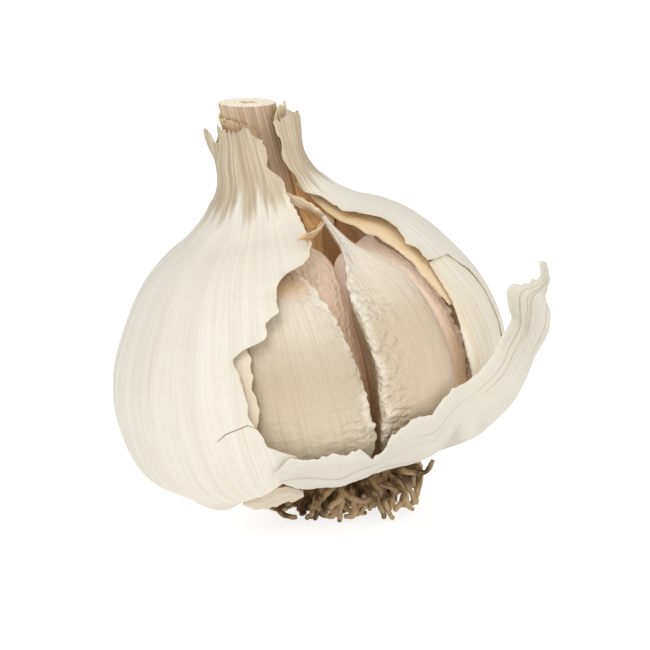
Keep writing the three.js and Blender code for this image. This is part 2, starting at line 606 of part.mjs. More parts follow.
const garlic = new THREE.Group();
garlic.name = 'garlic_bulb';
function addPiece(name, geometry, look) {
  const mesh = new THREE.Mesh(geometry, new THREE.MeshStandardMaterial({ ...look, metalness: 0 }));
  mesh.name = name;
  garlic.add(mesh);
}

addPiece('root_plate', rootBody(), { color: 0x94795a, roughness: 0.85 });
addPiece('stem', stemBody(), { color: 0xc9b597, roughness: 0.75 });
addPiece('clove_front', cloveBody(frontClove, 15), clove);
addPiece('clove_right', cloveBody(rightClove, 16), clove);
addPiece('clove_side', cloveBody(sideClove, 14), clove);
addPiece('clove_inner_front', cloveBody(innerFrontClove, 11), pinkClove);
addPiece('clove_inner_right', cloveBody(innerRightClove, 12), pinkClove);
for (const [name, turn, half] of hiddenCloves) {
  addPiece(name, cloveBody(hiddenStations(turn, half), 9), clove);
}
addPiece('outer_skin', outerSkin(), paper);
addPiece('second_skin', skinStrip(secondTear.map(([h]) => h), secondBack, secondTear, 6, -1.05, leafThick),
  paper);
addPiece('tan_sheath', skinStrip(sheathTear.map(([h]) => h), sheathTear, sheathBack, 5, -1, leafThick),
  innerPaper);
addPiece('side_skin', skinStrip(sideRidge.map(([h]) => h), sideRidge, sideBack, 8, -0.92, leafThick),
  paper);
addPiece('core_wall', wallStrip(coreRows, 8), innerPaper);
addPiece('core_sleeve', wallStrip(sleeveRows, 8), innerPaper);
addPiece('peeled_skin', peeledSkin(), paper);
addPiece('dried_tail', ribbonBody(tailPath, tailWidth, leafThick), innerPaper);
addPiece('skin_shred', ribbonBody(shredPath, shredWidth, leafThick), paper);
addPiece('neck_scale', wallStrip(scaleRows, 5), innerPaper);

export default garlic;
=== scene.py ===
# Garlic bulb lying on its belly, the dry skin torn open at the front.
# Shapes are worked out in millimetres in the bulb's own upright frame
# (x right, d toward the front, h along the stem), then leaned and set on the floor.
import math

import bpy
import numpy as np
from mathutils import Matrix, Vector


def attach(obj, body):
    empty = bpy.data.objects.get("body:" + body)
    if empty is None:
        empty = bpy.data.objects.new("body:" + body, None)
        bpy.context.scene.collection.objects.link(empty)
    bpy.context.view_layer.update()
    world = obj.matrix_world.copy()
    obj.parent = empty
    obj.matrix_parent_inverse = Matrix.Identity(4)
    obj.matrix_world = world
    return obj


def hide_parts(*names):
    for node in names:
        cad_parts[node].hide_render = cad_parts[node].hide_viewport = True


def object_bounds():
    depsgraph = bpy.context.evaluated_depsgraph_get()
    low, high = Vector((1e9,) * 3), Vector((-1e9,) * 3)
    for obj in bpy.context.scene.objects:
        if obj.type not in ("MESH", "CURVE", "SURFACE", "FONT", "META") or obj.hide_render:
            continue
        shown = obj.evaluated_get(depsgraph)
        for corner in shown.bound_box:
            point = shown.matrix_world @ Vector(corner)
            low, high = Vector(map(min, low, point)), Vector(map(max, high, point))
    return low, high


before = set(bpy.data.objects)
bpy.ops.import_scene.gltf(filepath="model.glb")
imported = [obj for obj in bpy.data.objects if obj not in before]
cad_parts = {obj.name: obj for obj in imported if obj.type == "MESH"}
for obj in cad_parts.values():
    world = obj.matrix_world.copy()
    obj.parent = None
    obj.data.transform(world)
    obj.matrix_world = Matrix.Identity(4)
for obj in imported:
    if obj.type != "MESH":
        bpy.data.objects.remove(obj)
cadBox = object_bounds()
boxLow, boxHigh = (np.array(corner, dtype=float) for corner in cadBox)

bulb = dict(lean=14.05, lift=6.2, centreX=-2.05, centreY=-0.15, sideSkew=0.03)

# skin profile from the root plate to the neck: radius, height
profile = np.array([
    [9.6, -0.2], [13.4, 0.3], [17.6, 1.1], [21.8, 2.3], [24.9, 3.7], [27.2, 5.7],
    [28.5, 7.8], [29.1, 9.9], [29.4, 11.9], [29.6, 15.8], [29.2, 19.3], [28.2, 22.8],
    [26.7, 26], [24.3, 29.9], [22.2, 32.7], [19.8, 35.1], [16.8, 37.2], [13.8, 38.7],
    [11.9, 40], [10.1, 41.5], [8.8, 43], [7.7, 44.3], [6.9, 46.2], [6.55, 48.2],
    [6.3, 51], [6.1, 54], [6, 57]])
cloveEdges = [-21.5, 18, 50, 101, 141, 180.5, 220, 260, 298]


def curveThrough(points, t):
    # smooth curve through rows of numbers, t counts the rows
    points = np.asarray(points, dtype=float)
    last = len(points) - 1
    t = np.atleast_1d(t)
    i = np.clip(np.floor(t).astype(int), 0, last - 1)
    f = (t - i).reshape((-1,) + (1,) * (points.ndim - 1))
    a, b = points[np.maximum(i - 1, 0)], points[i]
    c, d = points[i + 1], points[np.minimum(i + 2, last)]
    return b + 0.5 * f * (c - a + f * (2 * a - 5 * b + 4 * c - d + f * (3 * b - a - 3 * c + d)))


def resample(points, count):
    return curveThrough(points, np.linspace(0, len(points) - 1, count))


def along(pairs, key):
    pairs = np.asarray(pairs, dtype=float)
    return np.interp(key, pairs[:, 0], pairs[:, 1])


def smooth(low, high, x):
    t = np.clip((x - low) / (high - low), 0, 1)
    return t * t * (3 - 2 * t)


def scatter(i, j, seed):
    n = np.sin(i * 127.1 + j * 311.7 + seed * 74.7) * 43758.5453
    return n - np.floor(n)


def grain(u, v, seed):
    # soft noise from -1 to 1
    iu, iv = np.floor(u), np.floor(v)
    fu, fv = u - iu, v - iv
    fu, fv = fu * fu * (3 - 2 * fu), fv * fv * (3 - 2 * fv)
    low = scatter(iu, iv, seed) * (1 - fu) + scatter(iu + 1, iv, seed) * fu
    high = scatter(iu, iv + 1, seed) * (1 - fu) + scatter(iu + 1, iv + 1, seed) * fu
    return 2 * (low * (1 - fv) + high * fv) - 1


def torn(x, seed):
    # ragged line from -1 to 1 with straight, uneven nicks
    total = 0
    for size, step in ((0.9, 1), (2.6, 0.55), (5.2, 0.3)):
        i = np.floor(x * size)
        f = x * size - i
        total = total + step * (scatter(i, 0, seed) * (1 - f) + scatter(i + 1, 0, seed) * f - 0.5)
    return total


def turnBetween(a, b):
    return np.abs((a - b + 540) % 360 - 180)


def layOut(across, lengthwise):
    # coordinates in mm for the fine lines of the finishes
    return np.stack(np.broadcast_arrays(across, lengthwise), axis=-1)


def polar(turn, radius, height):
    a = np.radians(turn)
    return np.stack(np.broadcast_arrays(radius * np.sin(a), radius * np.cos(a), height), axis=-1)


def place(p):
    # bulb frame, mm, to the leaning bulb on the floor, metres
    a = math.radians(bulb["lean"])
    x = p[..., 0] * math.cos(a) - p[..., 2] * math.sin(a) - bulb["centreX"]
    y = -p[..., 1] - bulb["centreY"]
    z = p[..., 0] * math.sin(a) + p[..., 2] * math.cos(a) + bulb["lift"]
    return np.stack([x, y, z], axis=-1) * 0.001


profileCurve = resample(profile, 2601)
profileRun = np.gradient(profileCurve, axis=0)
profileRun /= np.linalg.norm(profileRun, axis=1)[:, None]


def skinAt(height):
    # radius and outward normal of the profile at a height
    r, nr, nh = (np.interp(height, profileCurve[:, 1], column)
                 for column in (profileCurve[:, 0], profileRun[:, 1], -profileRun[:, 0]))
    return r, nr, nh


# the belly sags where the bulb lies on it
sag = dict(turn=-90, depth=3.8, radius=18.5, reach=7.5, top=12)
groove = dict(depth=0.45, width=9)
# the torn neck stands off the stem on both sides
neckFlare = (47.5, 53)
leftFlap = dict(turn=-97, spread=17, out=2.2)
rightFlap = dict(turn=78, spread=45, out=1.2)
# between them, at the left, the neck closes in on the stem
pinch = dict(turn=-75, spread=75, deepest=1.05)


def skinPoint(turn, height, offset):
    r, nr, nh = skinAt(height)
    fullness = 1 - bulb["sideSkew"] * np.sin(np.radians(turn))
    nearest = np.min([turnBetween(turn, edge) for edge in cloveEdges], axis=0)
    dip = np.maximum(0, 1 - nearest / groove["width"]) ** 2 \
        * smooth(2, 8, height) * (1 - smooth(28, 40, height))
    aside = np.radians(np.minimum(90, turnBetween(turn, sag["turn"]) * 2))
    away = np.pi / 2 * np.clip((r - sag["radius"]) / sag["reach"], -1, 1)
    drop = sag["depth"] * np.cos(aside) ** 2 * np.cos(away) ** 2 * (height < sag["top"])
    standOff = sum(flap["out"] * np.maximum(0, 1 - turnBetween(turn, flap["turn"]) / flap["spread"])
                   for flap in (leftFlap, rightFlap))
    closing = pinch["deepest"] * smooth(0, 0.6, 1 - turnBetween(turn, pinch["turn"]) / pinch["spread"])
    flare = smooth(*neckFlare, height) * (standOff - closing)
    return polar(turn, r * fullness - groove["depth"] * dip + flare + offset * nr,
                 height - drop + offset * nh)


def newObject(name, data):
    made = bpy.data.objects.new(name, data)
    bpy.context.scene.collection.objects.link(made)
    return made


def makeMesh(name, points, faces, uv, marks):
    # mesh from points, with faces turned outward, a UV map called lay and named marks on its points
    points = np.clip(points, boxLow, boxHigh)
    faces = np.asarray(faces)
    volume = 0
    for a, b, c in ((0, 1, 2), (0, 2, 3))[:faces.shape[1] - 2]:
        p, q, r = points[faces[:, a]], points[faces[:, b]], points[faces[:, c]]
        volume += np.einsum("ij,ij->i", p, np.cross(q, r)).sum()
    if volume < 0:
        faces = faces[:, ::-1]
    mesh = bpy.data.meshes.new(name)
    mesh.from_pydata(points.tolist(), [], [list(dict.fromkeys(face)) for face in faces.tolist()])
    layer = mesh.uv_layers.new(name="lay")
    corners = np.empty(len(mesh.loops), dtype=np.int32)
    mesh.loops.foreach_get("vertex_index", corners)
    layer.data.foreach_set("uv", np.asarray(uv, dtype=np.float32)[corners].ravel())
    for mark, values in marks.items():
        layer = mesh.attributes.new(mark, "FLOAT", "POINT")
        layer.data.foreach_set("value", np.asarray(values, dtype=np.float32))
    mesh.shade_smooth()
    mesh.set_sharp_from_angle(angle=math.radians(50))
    return newObject(name, mesh)


def leafPiece(name, outer, inner, uv, marks):
    # a leaf: two sheets over the same rows with a rim round them
    rows, columns = outer.shape[:2]
    at = np.arange(rows * columns).reshape(rows, columns)
    back = rows * columns
    a, b, c, d = at[:-1, :-1].ravel(), at[:-1, 1:].ravel(), at[1:, 1:].ravel(), at[1:, :-1].ravel()
    sheets = [np.stack([a, b, c, d], 1), np.stack([a, d, c, b], 1) + back]
    ring = np.concatenate([at[0, :], at[1:, -1], at[-1, -2::-1], at[-2:0:-1, 0]])
    after = np.roll(ring, -1)
    sheets.append(np.stack([after, ring, ring + back, after + back], 1))
    uv = np.concatenate([uv.reshape(-1, 2)] * 2)
    marks = {mark: np.concatenate([np.broadcast_to(v, at.shape).ravel()] * 2)
             for mark, v in marks.items()}
    points = np.concatenate([outer.reshape(-1, 3), inner.reshape(-1, 3)])
    return makeMesh(name, points, np.concatenate(sheets), uv, marks)


def loftPiece(name, rings, uv, marks):
    # closed body through rings of equal count, each end closed to a point
    levels, n = rings.shape[:2]
    points = np.concatenate([rings.reshape(-1, 3), rings[0].mean(0)[None], rings[-1].mean(0)[None]])
    at = np.arange(levels * n).reshape(levels, n)
    a, b = at[:-1], np.roll(at[:-1], -1, 1)
    c, d = np.roll(at[1:], -1, 1), at[1:]
    faces = [np.stack([a.ravel(), b.ravel(), c.ravel(), d.ravel()], 1)]
    first, last = levels * n, levels * n + 1
    turned = np.roll(at, -1, 1)
    faces.append(np.stack([np.full(n, first), turned[0], at[0], at[0]], 1))
    faces.append(np.stack([np.full(n, last), at[-1], turned[-1], turned[-1]], 1))
    uv = np.concatenate([uv.reshape(-1, 2), uv[0].mean(0)[None], uv[-1].mean(0)[None]])
    marks = {mark: np.concatenate([v.ravel(), [v[0].mean()], [v[-1].mean()]])
             for mark, v in marks.items()}
    return makeMesh(name, points, np.concatenate(faces), uv, marks)


def settle(piece, finish, slot, *nodes):
    piece.data.materials.clear()
    piece.data.materials.append(finish)
    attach(piece, "root")
    if nodes:
        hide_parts(*nodes)
    return piece


def tone(red, green, blue):
    # colour given 0 to 255, to the linear colour of the shader
    colour = (((c / 255 + 0.055) / 1.055) ** 2.4 if c > 10 else c / 3294 for c in (red, green, blue))
    return (*colour, 1)


class Wire:
    def __init__(self, finish, socket):
        self.finish, self.socket = finish, socket

    def join(self, operation, other, flip=False):
        pair = (other, self) if flip else (self, other)
        return self.finish.put("ShaderNodeMath", dict(operation=operation), {0: pair[0], 1: pair[1]})

    def __add__(self, other):
        return self.join("ADD", other)

    def __radd__(self, other):
        return self.join("ADD", other, True)

    def __sub__(self, other):
        return self.join("SUBTRACT", other)

    def __rsub__(self, other):
        return self.join("SUBTRACT", other, True)

    def __mul__(self, other):
        return self.join("MULTIPLY", other)

    def __rmul__(self, other):
        return self.join("MULTIPLY", other, True)


class Finish:
    def __init__(self, name):
        self.material = bpy.data.materials.new(name)
        self.material.use_nodes = True
        self.tree = self.material.node_tree
        self.tree.nodes.clear()

    def put(self, kind, settings=None, sockets=None, out=0):
        node = self.tree.nodes.new(kind)
        for key, value in (settings or {}).items():
            if key == "stops":
                ramp = node.color_ramp.elements
                while len(ramp) < len(value):
                    ramp.new(0.5)
                for stop, (position, colour) in zip(ramp, value):
                    stop.position, stop.color = position, colour
            else:
                setattr(node, key, value)
        for key, value in (sockets or {}).items():
            if isinstance(value, Wire):
                self.tree.links.new(value.socket, node.inputs[key])
            else:
                node.inputs[key].default_value = value
        return Wire(self, node.outputs[out])

    def mark(self, name):
        return self.put("ShaderNodeAttribute", dict(attribute_name=name), out="Fac")

    def lay(self, across, lengthwise):
        uv = self.put("ShaderNodeUVMap", dict(uv_map="lay"))
        return self.put("ShaderNodeVectorMath", dict(operation="MULTIPLY"),
                        {0: uv, 1: (across, lengthwise, 0)})

    def here(self):
        return self.put("ShaderNodeTexCoord", out="Object")

    def noise(self, vector, scale=1.0, detail=3.0, roughness=0.5):
        return self.put("ShaderNodeTexNoise", None, {
            "Vector": vector, "Scale": scale, "Detail": detail, "Roughness": roughness})

    def speckle(self, scale, detail):
        return self.noise(self.here(), scale=scale, detail=detail)

    def lines(self, across, lengthwise):
        return self.noise(self.lay(across, lengthwise), detail=4, roughness=0.6)

    def streaks(self, across, lengthwise, low, high):
        return self.band(self.noise(self.lay(across, lengthwise), detail=2), low, high)

    def band(self, value, low, high):
        # 0 below low, 1 above high
        return self.put("ShaderNodeMapRange", dict(clamp=True, interpolation_type="SMOOTHSTEP"), {
            0: value, 1: low, 2: high, 3: 0.0, 4: 1.0})

    def blend(self, share, first, second):
        return self.put("ShaderNodeMix", dict(data_type="RGBA"), {0: share, 6: first, 7: second}, out=2)

    def end(self, colour, roughness, height=None, depth=0.0002, strength=0.6, **fixed):
        sockets = {"Base Color": colour, "Roughness": roughness}
        sockets.update({key.replace("_", " "): value for key, value in fixed.items()})
        if height is not None:
            sockets["Normal"] = self.put("ShaderNodeBump", None, {
                "Strength": strength, "Distance": depth, "Height": height})
        surface = self.put("ShaderNodeBsdfPrincipled", None, sockets)
        last = self.tree.nodes.new("ShaderNodeOutputMaterial")
        self.tree.links.new(surface.socket, last.inputs["Surface"])
        return self.material


def paperFinish(name, base, vein, neckTint=0.0, blush=0.35):
    # dry white skin: fine meridian lines, a few cream veins, tan at the neck with painted shade in its
    # folds
    f = Finish(name)
    fine = f.lines(2.6, 0.05)
    broad = f.noise(f.lay(0.55, 0.02), detail=3)
    cloud = f.speckle(70, 3)
    veins = f.streaks(0.9, 0.035, 0.6, 0.72)
    colour = f.blend(f.band(fine, 0.3, 0.75) * 0.5 + f.band(broad, 0.35, 0.7) * 0.4, base, vein)
    colour = f.blend(veins * blush, colour, tone(222, 196, 152))
    colour = f.blend(f.band(cloud, 0.45, 0.75) * 0.3, colour, tone(238, 234, 224))
    freckles = f.band(f.speckle(520, 2), 0.72, 0.78) \
        * f.band(f.speckle(60, 1), 0.55, 0.7)
    colour = f.blend(freckles * 0.5, colour, tone(190, 150, 100))
    if neckTint:
        fold = f.mark("fold")
        neck = f.mark("neck")
        colour = f.blend(neck * 0.85, colour, tone(202, 186, 158))
        # painted shade in the folds of the neck
        colour = f.blend(fold * neck * neckTint, colour, tone(148, 126, 94))
        fibres = f.streaks(3.6, 0.07, 0.54, 0.6)
        colour = f.blend(fibres * neck * 0.5, colour, tone(158, 136, 104))
        pale = f.streaks(1.9, 0.09, 0.58, 0.66)
        colour = f.blend(pale * neck * 0.6, colour, tone(234, 226, 208))
        # the crack is a painted dark line: painted shade in the gap of the crack
        side = f.mark("crackSide")
        crackShade = (1 - f.band(side * side, 0.002, 0.02)) * f.mark("crackSpan")
        colour = f.blend(crackShade * 0.75, colour, tone(128, 102, 68))
    colour = f.blend(f.mark("edge") * 0.3, colour, tone(232, 214, 178))
    height = fine * 0.6 + broad * 0.8 + f.speckle(320, 3) * 0.25
    return f.end(colour, f.band(cloud, 0.2, 0.9) * 0.15 + 0.5, height, depth=0.00025, strength=0.5,
                 Specular_IOR_Level=0.35)


def cloveFinish(name, top, middle, low, streak, roughness=0.33, paintedGlow=0.0, tipTanAndShade=0.0):
    # tight clove skin: cream above, beige below, fine lines up the length, crinkled beside the ridge
    f = Finish(name)
    rise = f.mark("rise")
    fine = f.lines(3.2, 0.06)
    lines = f.streaks(1.5, 0.03, 0.55, 0.68)
    patch = f.speckle(55, 2)
    colour = f.blend(f.band(rise + patch * 0.3, 0.2, 0.75), low, middle)
    colour = f.blend(f.band(rise + patch * 0.2, 0.65, 1.0), colour, top)
    colour = f.blend(f.band(fine, 0.35, 0.75) * 0.35 + lines * 0.3, colour, streak)
    # tan at the tip: the dry tip's own colour and painted shade under the edge of the outer skin
    colour = f.blend(f.band(rise + patch * 0.1, 0.93, 1.0) * tipTanAndShade, colour, tone(206, 170, 120))
    colour = f.blend(f.mark("ridge") * 0.55, colour, tone(246, 238, 222))
    crinkle = f.noise(f.lay(0.4, 1.0), detail=1) * f.mark("crinkled")
    height = fine * 0.3 + f.speckle(260, 3) * 0.25 + crinkle * 5.0
    # the skin also glows in its own colour: painted light, as if light came through it
    return f.end(colour, f.band(fine, 0.2, 0.8) * 0.12 + roughness, height, depth=0.0006, strength=0.6,
                 Specular_IOR_Level=0.6, Emission_Color=colour, Emission_Strength=paintedGlow)


def driedFinish(name, pale, dark, roughness=0.6, paintedGlow=0.0):
    # tan dry leaf with dark lines along it, light shines through it by the glow
    f = Finish(name)
    fine = f.noise(f.lay(2.4, 0.08), detail=4, roughness=0.65)
    cloud = f.speckle(110, 3)
    colour = f.blend(f.band(fine, 0.35, 0.7) * 0.6 + f.band(cloud, 0.4, 0.7) * 0.35, pale, dark)
    colour = f.blend(f.mark("edge") * 0.45, colour, tone(236, 218, 180))
    height = fine * 0.8 + cloud * 0.4
    return f.end(colour, roughness, height, depth=0.0003, strength=0.6, Specular_IOR_Level=0.3,
                 Emission_Color=colour, Emission_Strength=paintedGlow)


print("curves and finishes ready")


layRound = 186  # mm round the belly, for the fine lines of the skins
outerSkin = dict(start=56, span=304, top=54, columns=300, rows=156, thick=0.34, rimThick=0.14,
                 ribs=58, ribDepth=0.1, jag=0.5, rimJag=0.8, neckStart=45)
leftTear = [
    [-0.2, -56], [0.6, -54], [1.7, -50], [2.6, -42], [3.4, -33], [4.4, -24], [5.4, -18], [7.6, -11],
    [10.1, -7], [11.3, -10.5], [12.5, -14.5], [15.6, -16.5], [17, -18], [18.8, -17], [20.8, -18],
    [23.3, -18.5], [25.2, -20], [26, -17.5], [26.4, -14.5], [26.7, -11], [27.1, -8.5], [28.9, -9],
    [29.4, -6.5], [29.8, -3.5], [32.8, -3], [33.6, -2], [34.3, 3], [34.6, 9], [35.3, 13.5],
    [38.2, 18], [39.7, 18.5], [44.6, 20], [46.5, 15.5], [47.8, 7], [51.6, 11], [54, 12]]
rightTear = [
    [-0.2, 62], [1.1, 64], [3, 68], [5, 71], [8, 74], [12, 78], [16.1, 81], [22.2, 82.5],
    [25.2, 80], [27.4, 76], [28.8, 74], [29.2, 66], [29.6, 58], [30.3, 57.5], [31.7, 57.5], [32.8, 56],
    [33.7, 57], [34.7, 59], [36.4, 58.5], [37.4, 55], [38.2, 53.5], [38.8, 49], [39.6, 50.5],
    [41.4, 45.5], [42.1, 40], [42.6, 34.5], [45.3, 36], [47.8, 31], [51.5, 30], [54, 29.5]]
neckRim = [
    [30, 53.5], [45, 54.1], [60, 54.5], [80, 53.8], [105, 53], [130, 52.2], [160, 53], [190, 52.2],
    [220, 53], [246, 53], [254, 51.6], [266, 54.3], [271, 54], [274, 51.8], [279, 52.2], [284, 54.2],
    [300, 54], [325, 53.5], [343, 53.9], [350, 54.2], [355, 53.7], [359, 53.3], [364, 52.2],
    [371, 51.5], [380, 51.2]]
# a short crack that runs in from the left tear: azimuth, height
crackPath = np.array([[343.5, 15.5], [341.5, 16.1], [338, 15.65], [334.5, 15.3], [331.5, 14.4]])


def skinTurn(share, height, jag):
    # azimuth across the opened skin: share 0 is the right tear, 1 the left tear
    right, left = along(rightTear, height), along(leftTear, height)
    start = outerSkin["start"]
    turn = start + outerSkin["span"] * share

    def fading(distance, shift):
        return np.maximum(0, 1 - distance / np.maximum(65, 2.6 * np.abs(shift))) ** 2

    turn = turn + (right - start) * fading(turn - start, right - start) \
        + left * fading(360 - turn, left)
    # small nicks that stay close to the torn edges
    rough = np.degrees(jag / skinAt(height)[0])
    return turn + rough * (torn(height, 3) * np.maximum(0, 1 - np.abs(turn - right) / 20) ** 2
                           + torn(height, 5) * np.maximum(0, 1 - np.abs(left + 360 - turn) / 20) ** 2)


def crackMarks(turn, height):
    # height above the crack's line, and a mask that ends where the crack does
    line = np.interp(-turn, -crackPath[:, 0], crackPath[:, 1])
    ends = smooth(crackPath[-1, 0] - 1, crackPath[-1, 0] + 1.5, turn) * (1 - smooth(346, 348, turn))
    return np.clip(height - line, -2, 2), ends * (np.abs(height - line) < 2)


def makeOuterSkin():
    s = outerSkin
    # rows are spread evenly over the profile's length, closer where the tears run across
    t = np.linspace(0, len(profileCurve) - 1, 4000)
    r = np.interp(t, np.arange(len(profileCurve)), profileCurve[:, 0])
    h = np.interp(t, np.arange(len(profileCurve)), profileCurve[:, 1])
    keep = h <= s["top"]
    r, h = r[keep], h[keep]
    step = np.hypot(np.diff(r), np.diff(h)) * (1 + 1.2 * ((h[1:] > 25) & (h[1:] < 44)))
    run = np.concatenate([[0], np.cumsum(step)])
    heights = np.interp(np.linspace(0, run[-1], s["rows"]), run, h)
    share = np.linspace(0, 1, s["columns"])
    height, across = np.meshgrid(heights, share, indexing="ij")
    turn = skinTurn(across, height, s["jag"])
    rim = along(neckRim, turn) + s["rimJag"] * torn(turn / 4, 8) - 0.3
    level = (rim - s["neckStart"]) / (s["top"] - s["neckStart"])
    high = np.where(height > s["neckStart"], s["neckStart"] + (height - s["neckStart"]) * level, height)
    radius = skinAt(high)[0]
    toEdge = np.minimum(across, 1 - across) * s["span"] * np.radians(1) * radius
    nearEdge = np.exp(-toEdge / 0.9)
    neckLine = high + 2 * grain(turn / 5.5, 0 * turn, 10) + 1.3 * grain(turn / 1.9, high / 6, 9)
    neck = smooth(41.5, 44.6, neckLine)
    ribs = np.sin(np.radians(turn) * s["ribs"] + 3.4 * grain(turn / 9, high / 13, 11))
    ribs = 0.18 * ribs + 0.45 * grain(turn / 3.4, high / 14, 12) \
        + 0.65 * grain(turn / 1.8, high / 7, 13)
    waves = 0.12 * grain(turn / 14, high / 7, 14) * (1 - neck)
    lift = (0.35 * smooth(20, 36, high) + 0.15) * np.exp(-toEdge / 1.8)
    lift *= 1 + 0.8 * grain(high * 0.7, 0 * high, 15)
    # over the side clove the edge lies flat
    lift *= 1 - (across < 0.5) * (1 - smooth(27, 33, high))
    crackSide, crackSpan = crackMarks(turn, high)
    # the skin below the crack has slipped a little behind the skin above it
    slip = -0.22 * crackSpan * np.exp(np.minimum(crackSide, 0) / 0.8) * (crackSide < 0)
    relief = s["ribDepth"] * ribs * smooth(42, 47.5, high) + waves + lift * (high > 6) + slip
    thick = s["rimThick"] + (s["thick"] - s["rimThick"]) * smooth(0, 2.5, toEdge)
    thick *= 1 - 0.4 * smooth(50, 53.5, high)
    outer = place(skinPoint(turn, high, relief))
    inner = place(skinPoint(turn, high, relief - thick))
    outer[..., 2] = np.maximum(outer[..., 2], 0)
    inner[..., 2] = np.maximum(inner[..., 2], 0.0003)
    uv = layOut(turn / 360 * layRound, high)
    # the fold mark holds painted shade in the folds of the neck
    marks = dict(neck=neck, fold=np.clip(0.5 - 0.8 * ribs, 0, 1), edge=nearEdge,
                 crackSide=crackSide, crackSpan=crackSpan)
    finish = paperFinish("dryWhiteSkin", tone(234, 229, 217), tone(216, 207, 190), neckTint=0.5)
    return settle(leafPiece("outerSkin", outer, inner, uv, marks), finish, "paper_skin", "outer_skin")


makeOuterSkin()
print("outer skin ready")


# skin layers inside the opening
def innerStrip(name, s, finish, slot, node):
    # strip of skin under the outer one, from its torn edge to its hidden edge (height, azimuth)
    height, across = np.meshgrid(np.linspace(s["tear"][0][0], s["tear"][-1][0], s["rows"]),
                                 np.linspace(0, 1, s["columns"]), indexing="ij")
    tear = along(s["tear"], height) + np.degrees(s["jag"] / skinAt(height)[0]) * torn(height, s["seed"])
    back = along(s["back"], height)
    turn = tear + (back - tear) * across
    width = np.abs(back - tear) * np.radians(1) * skinAt(height)[0]
    nearEdge = np.exp(-across * width / 0.8)
    relief = s["offset"] + s["ruffle"] * grain(turn / 5, height / 4, s["seed"] + 2) \
        + 0.05 * grain(turn / 1.2, height / 15, s["seed"] + 3)
    outer = place(skinPoint(turn, height, relief))
    inner = place(skinPoint(turn, height, relief - s["thick"]))
    uv = layOut(turn / 360 * layRound, height)
    return settle(leafPiece(name, outer, inner, uv, dict(edge=nearEdge)), finish, slot, node)


secondSkin = dict(
    rows=60, columns=26, offset=-1.05, thick=0.3, jag=0.3, ruffle=0.08, seed=21,
    tear=[[11, -25], [14, -18.5], [16, -16.5], [18, -15], [19.4, -15.5], [21.2, -16.3], [22.7, -15.3],
          [24.3, -15.5], [25.5, -15], [26.5, -16.5], [27.5, -20]],
    back=[[11, -40], [20, -44], [27.5, -40]])
tanSheath = dict(
    rows=90, columns=34, offset=-1.0, thick=0.3, jag=0.35, ruffle=0.1, seed=31,
    tear=[[23.4, 57], [24.6, 56.2], [26.5, 55], [28.8, 54.5], [30.6, 55], [32.2, 54], [33.6, 52.5],
          [35.6, 51.5], [36.4, 49], [37.8, 49], [39, 46.5], [40.8, 46.5], [42.8, 48], [44.4, 41]],
    back=[[23.4, 58], [25.4, 59.6], [28, 62], [29, 64], [29.6, 68], [30.6, 74], [33, 80], [36, 84],
          [44.4, 82]])
# skin over the side clove, its free edge runs down the clove's ridge
sideSkin = dict(
    rows=110, columns=70, offset=-0.3, thick=0.25, jag=0.3, ruffle=0.07, seed=36,
    tear=[[4.6, 62], [6.4, 58], [8.6, 55.8], [11.4, 54.4], [14.2, 53.6], [16.5, 53.6], [19.5, 54.4],
          [22, 56], [23.4, 56.8], [25.6, 57.5], [27, 58.6], [28.3, 59.2], [29.4, 60]],
    back=[[4.6, 92], [29.4, 94]])
innerPaper = paperFinish("secondSkin", tone(238, 230, 214), tone(218, 202, 174), blush=0.5)
sidePaper = paperFinish("sideSkin", tone(237, 230, 216), tone(220, 204, 176), blush=0.6)
tanLeaf = driedFinish("tanSheath", tone(232, 210, 172), tone(206, 172, 122), paintedGlow=0.08)
paleLeaf = driedFinish("paleTail", tone(236, 220, 190), tone(206, 182, 144), paintedGlow=0.1)
tipLeaf = driedFinish("driedTip", tone(212, 176, 128), tone(158, 116, 74), paintedGlow=0.08)
brownWall = driedFinish("brownCore", tone(218, 176, 122), tone(170, 122, 72), paintedGlow=0.2)
innerStrip("secondSkinLayer", secondSkin, innerPaper, "paper_skin", "second_skin")
innerStrip("tanSheath", tanSheath, tanLeaf, "tan_skin", "tan_sheath")
innerStrip("sideSkin", sideSkin, sidePaper, "paper_skin", "side_skin")


def wallPiece(name, given, finish, slot, node):
    # leaf that stands round the stem; rows: height, radius at both ends, azimuth of both ends
    s = dict(walls, **given)
    rows = resample(s["rows"], s["levels"])
    h, r0, r1, turn0, turn1 = (rows[:, k][:, None] for k in range(5))
    share, seed = np.linspace(0, 1, s["columns"])[None, :], s["seed"]
    turn = turn0 + (turn1 - turn0) * share
    radius = r0 + (r1 - r0) * share
    climb = np.linspace(0, 1, s["levels"])[:, None]
    teeth = grain(turn / 6, 0 * turn, seed) + 0.5 * grain(turn / 2.3, 0 * turn, seed + 1)
    high = h + climb ** 3 * s["jag"] * teeth
    ribs = np.sin(np.radians(turn) * 46 + grain(turn / 8, high / 6, seed) * 2)
    radius = radius + s["ribDepth"] * ribs
    outer = place(polar(turn, radius, high))
    inner = place(polar(turn, radius - s["thick"], high))
    uv = layOut(turn / 360 * s["layRound"], high)
    nearEdge = np.broadcast_to(climb ** 8, turn.shape)
    return settle(leafPiece(name, outer, inner, uv, dict(edge=nearEdge)), finish, slot, node)


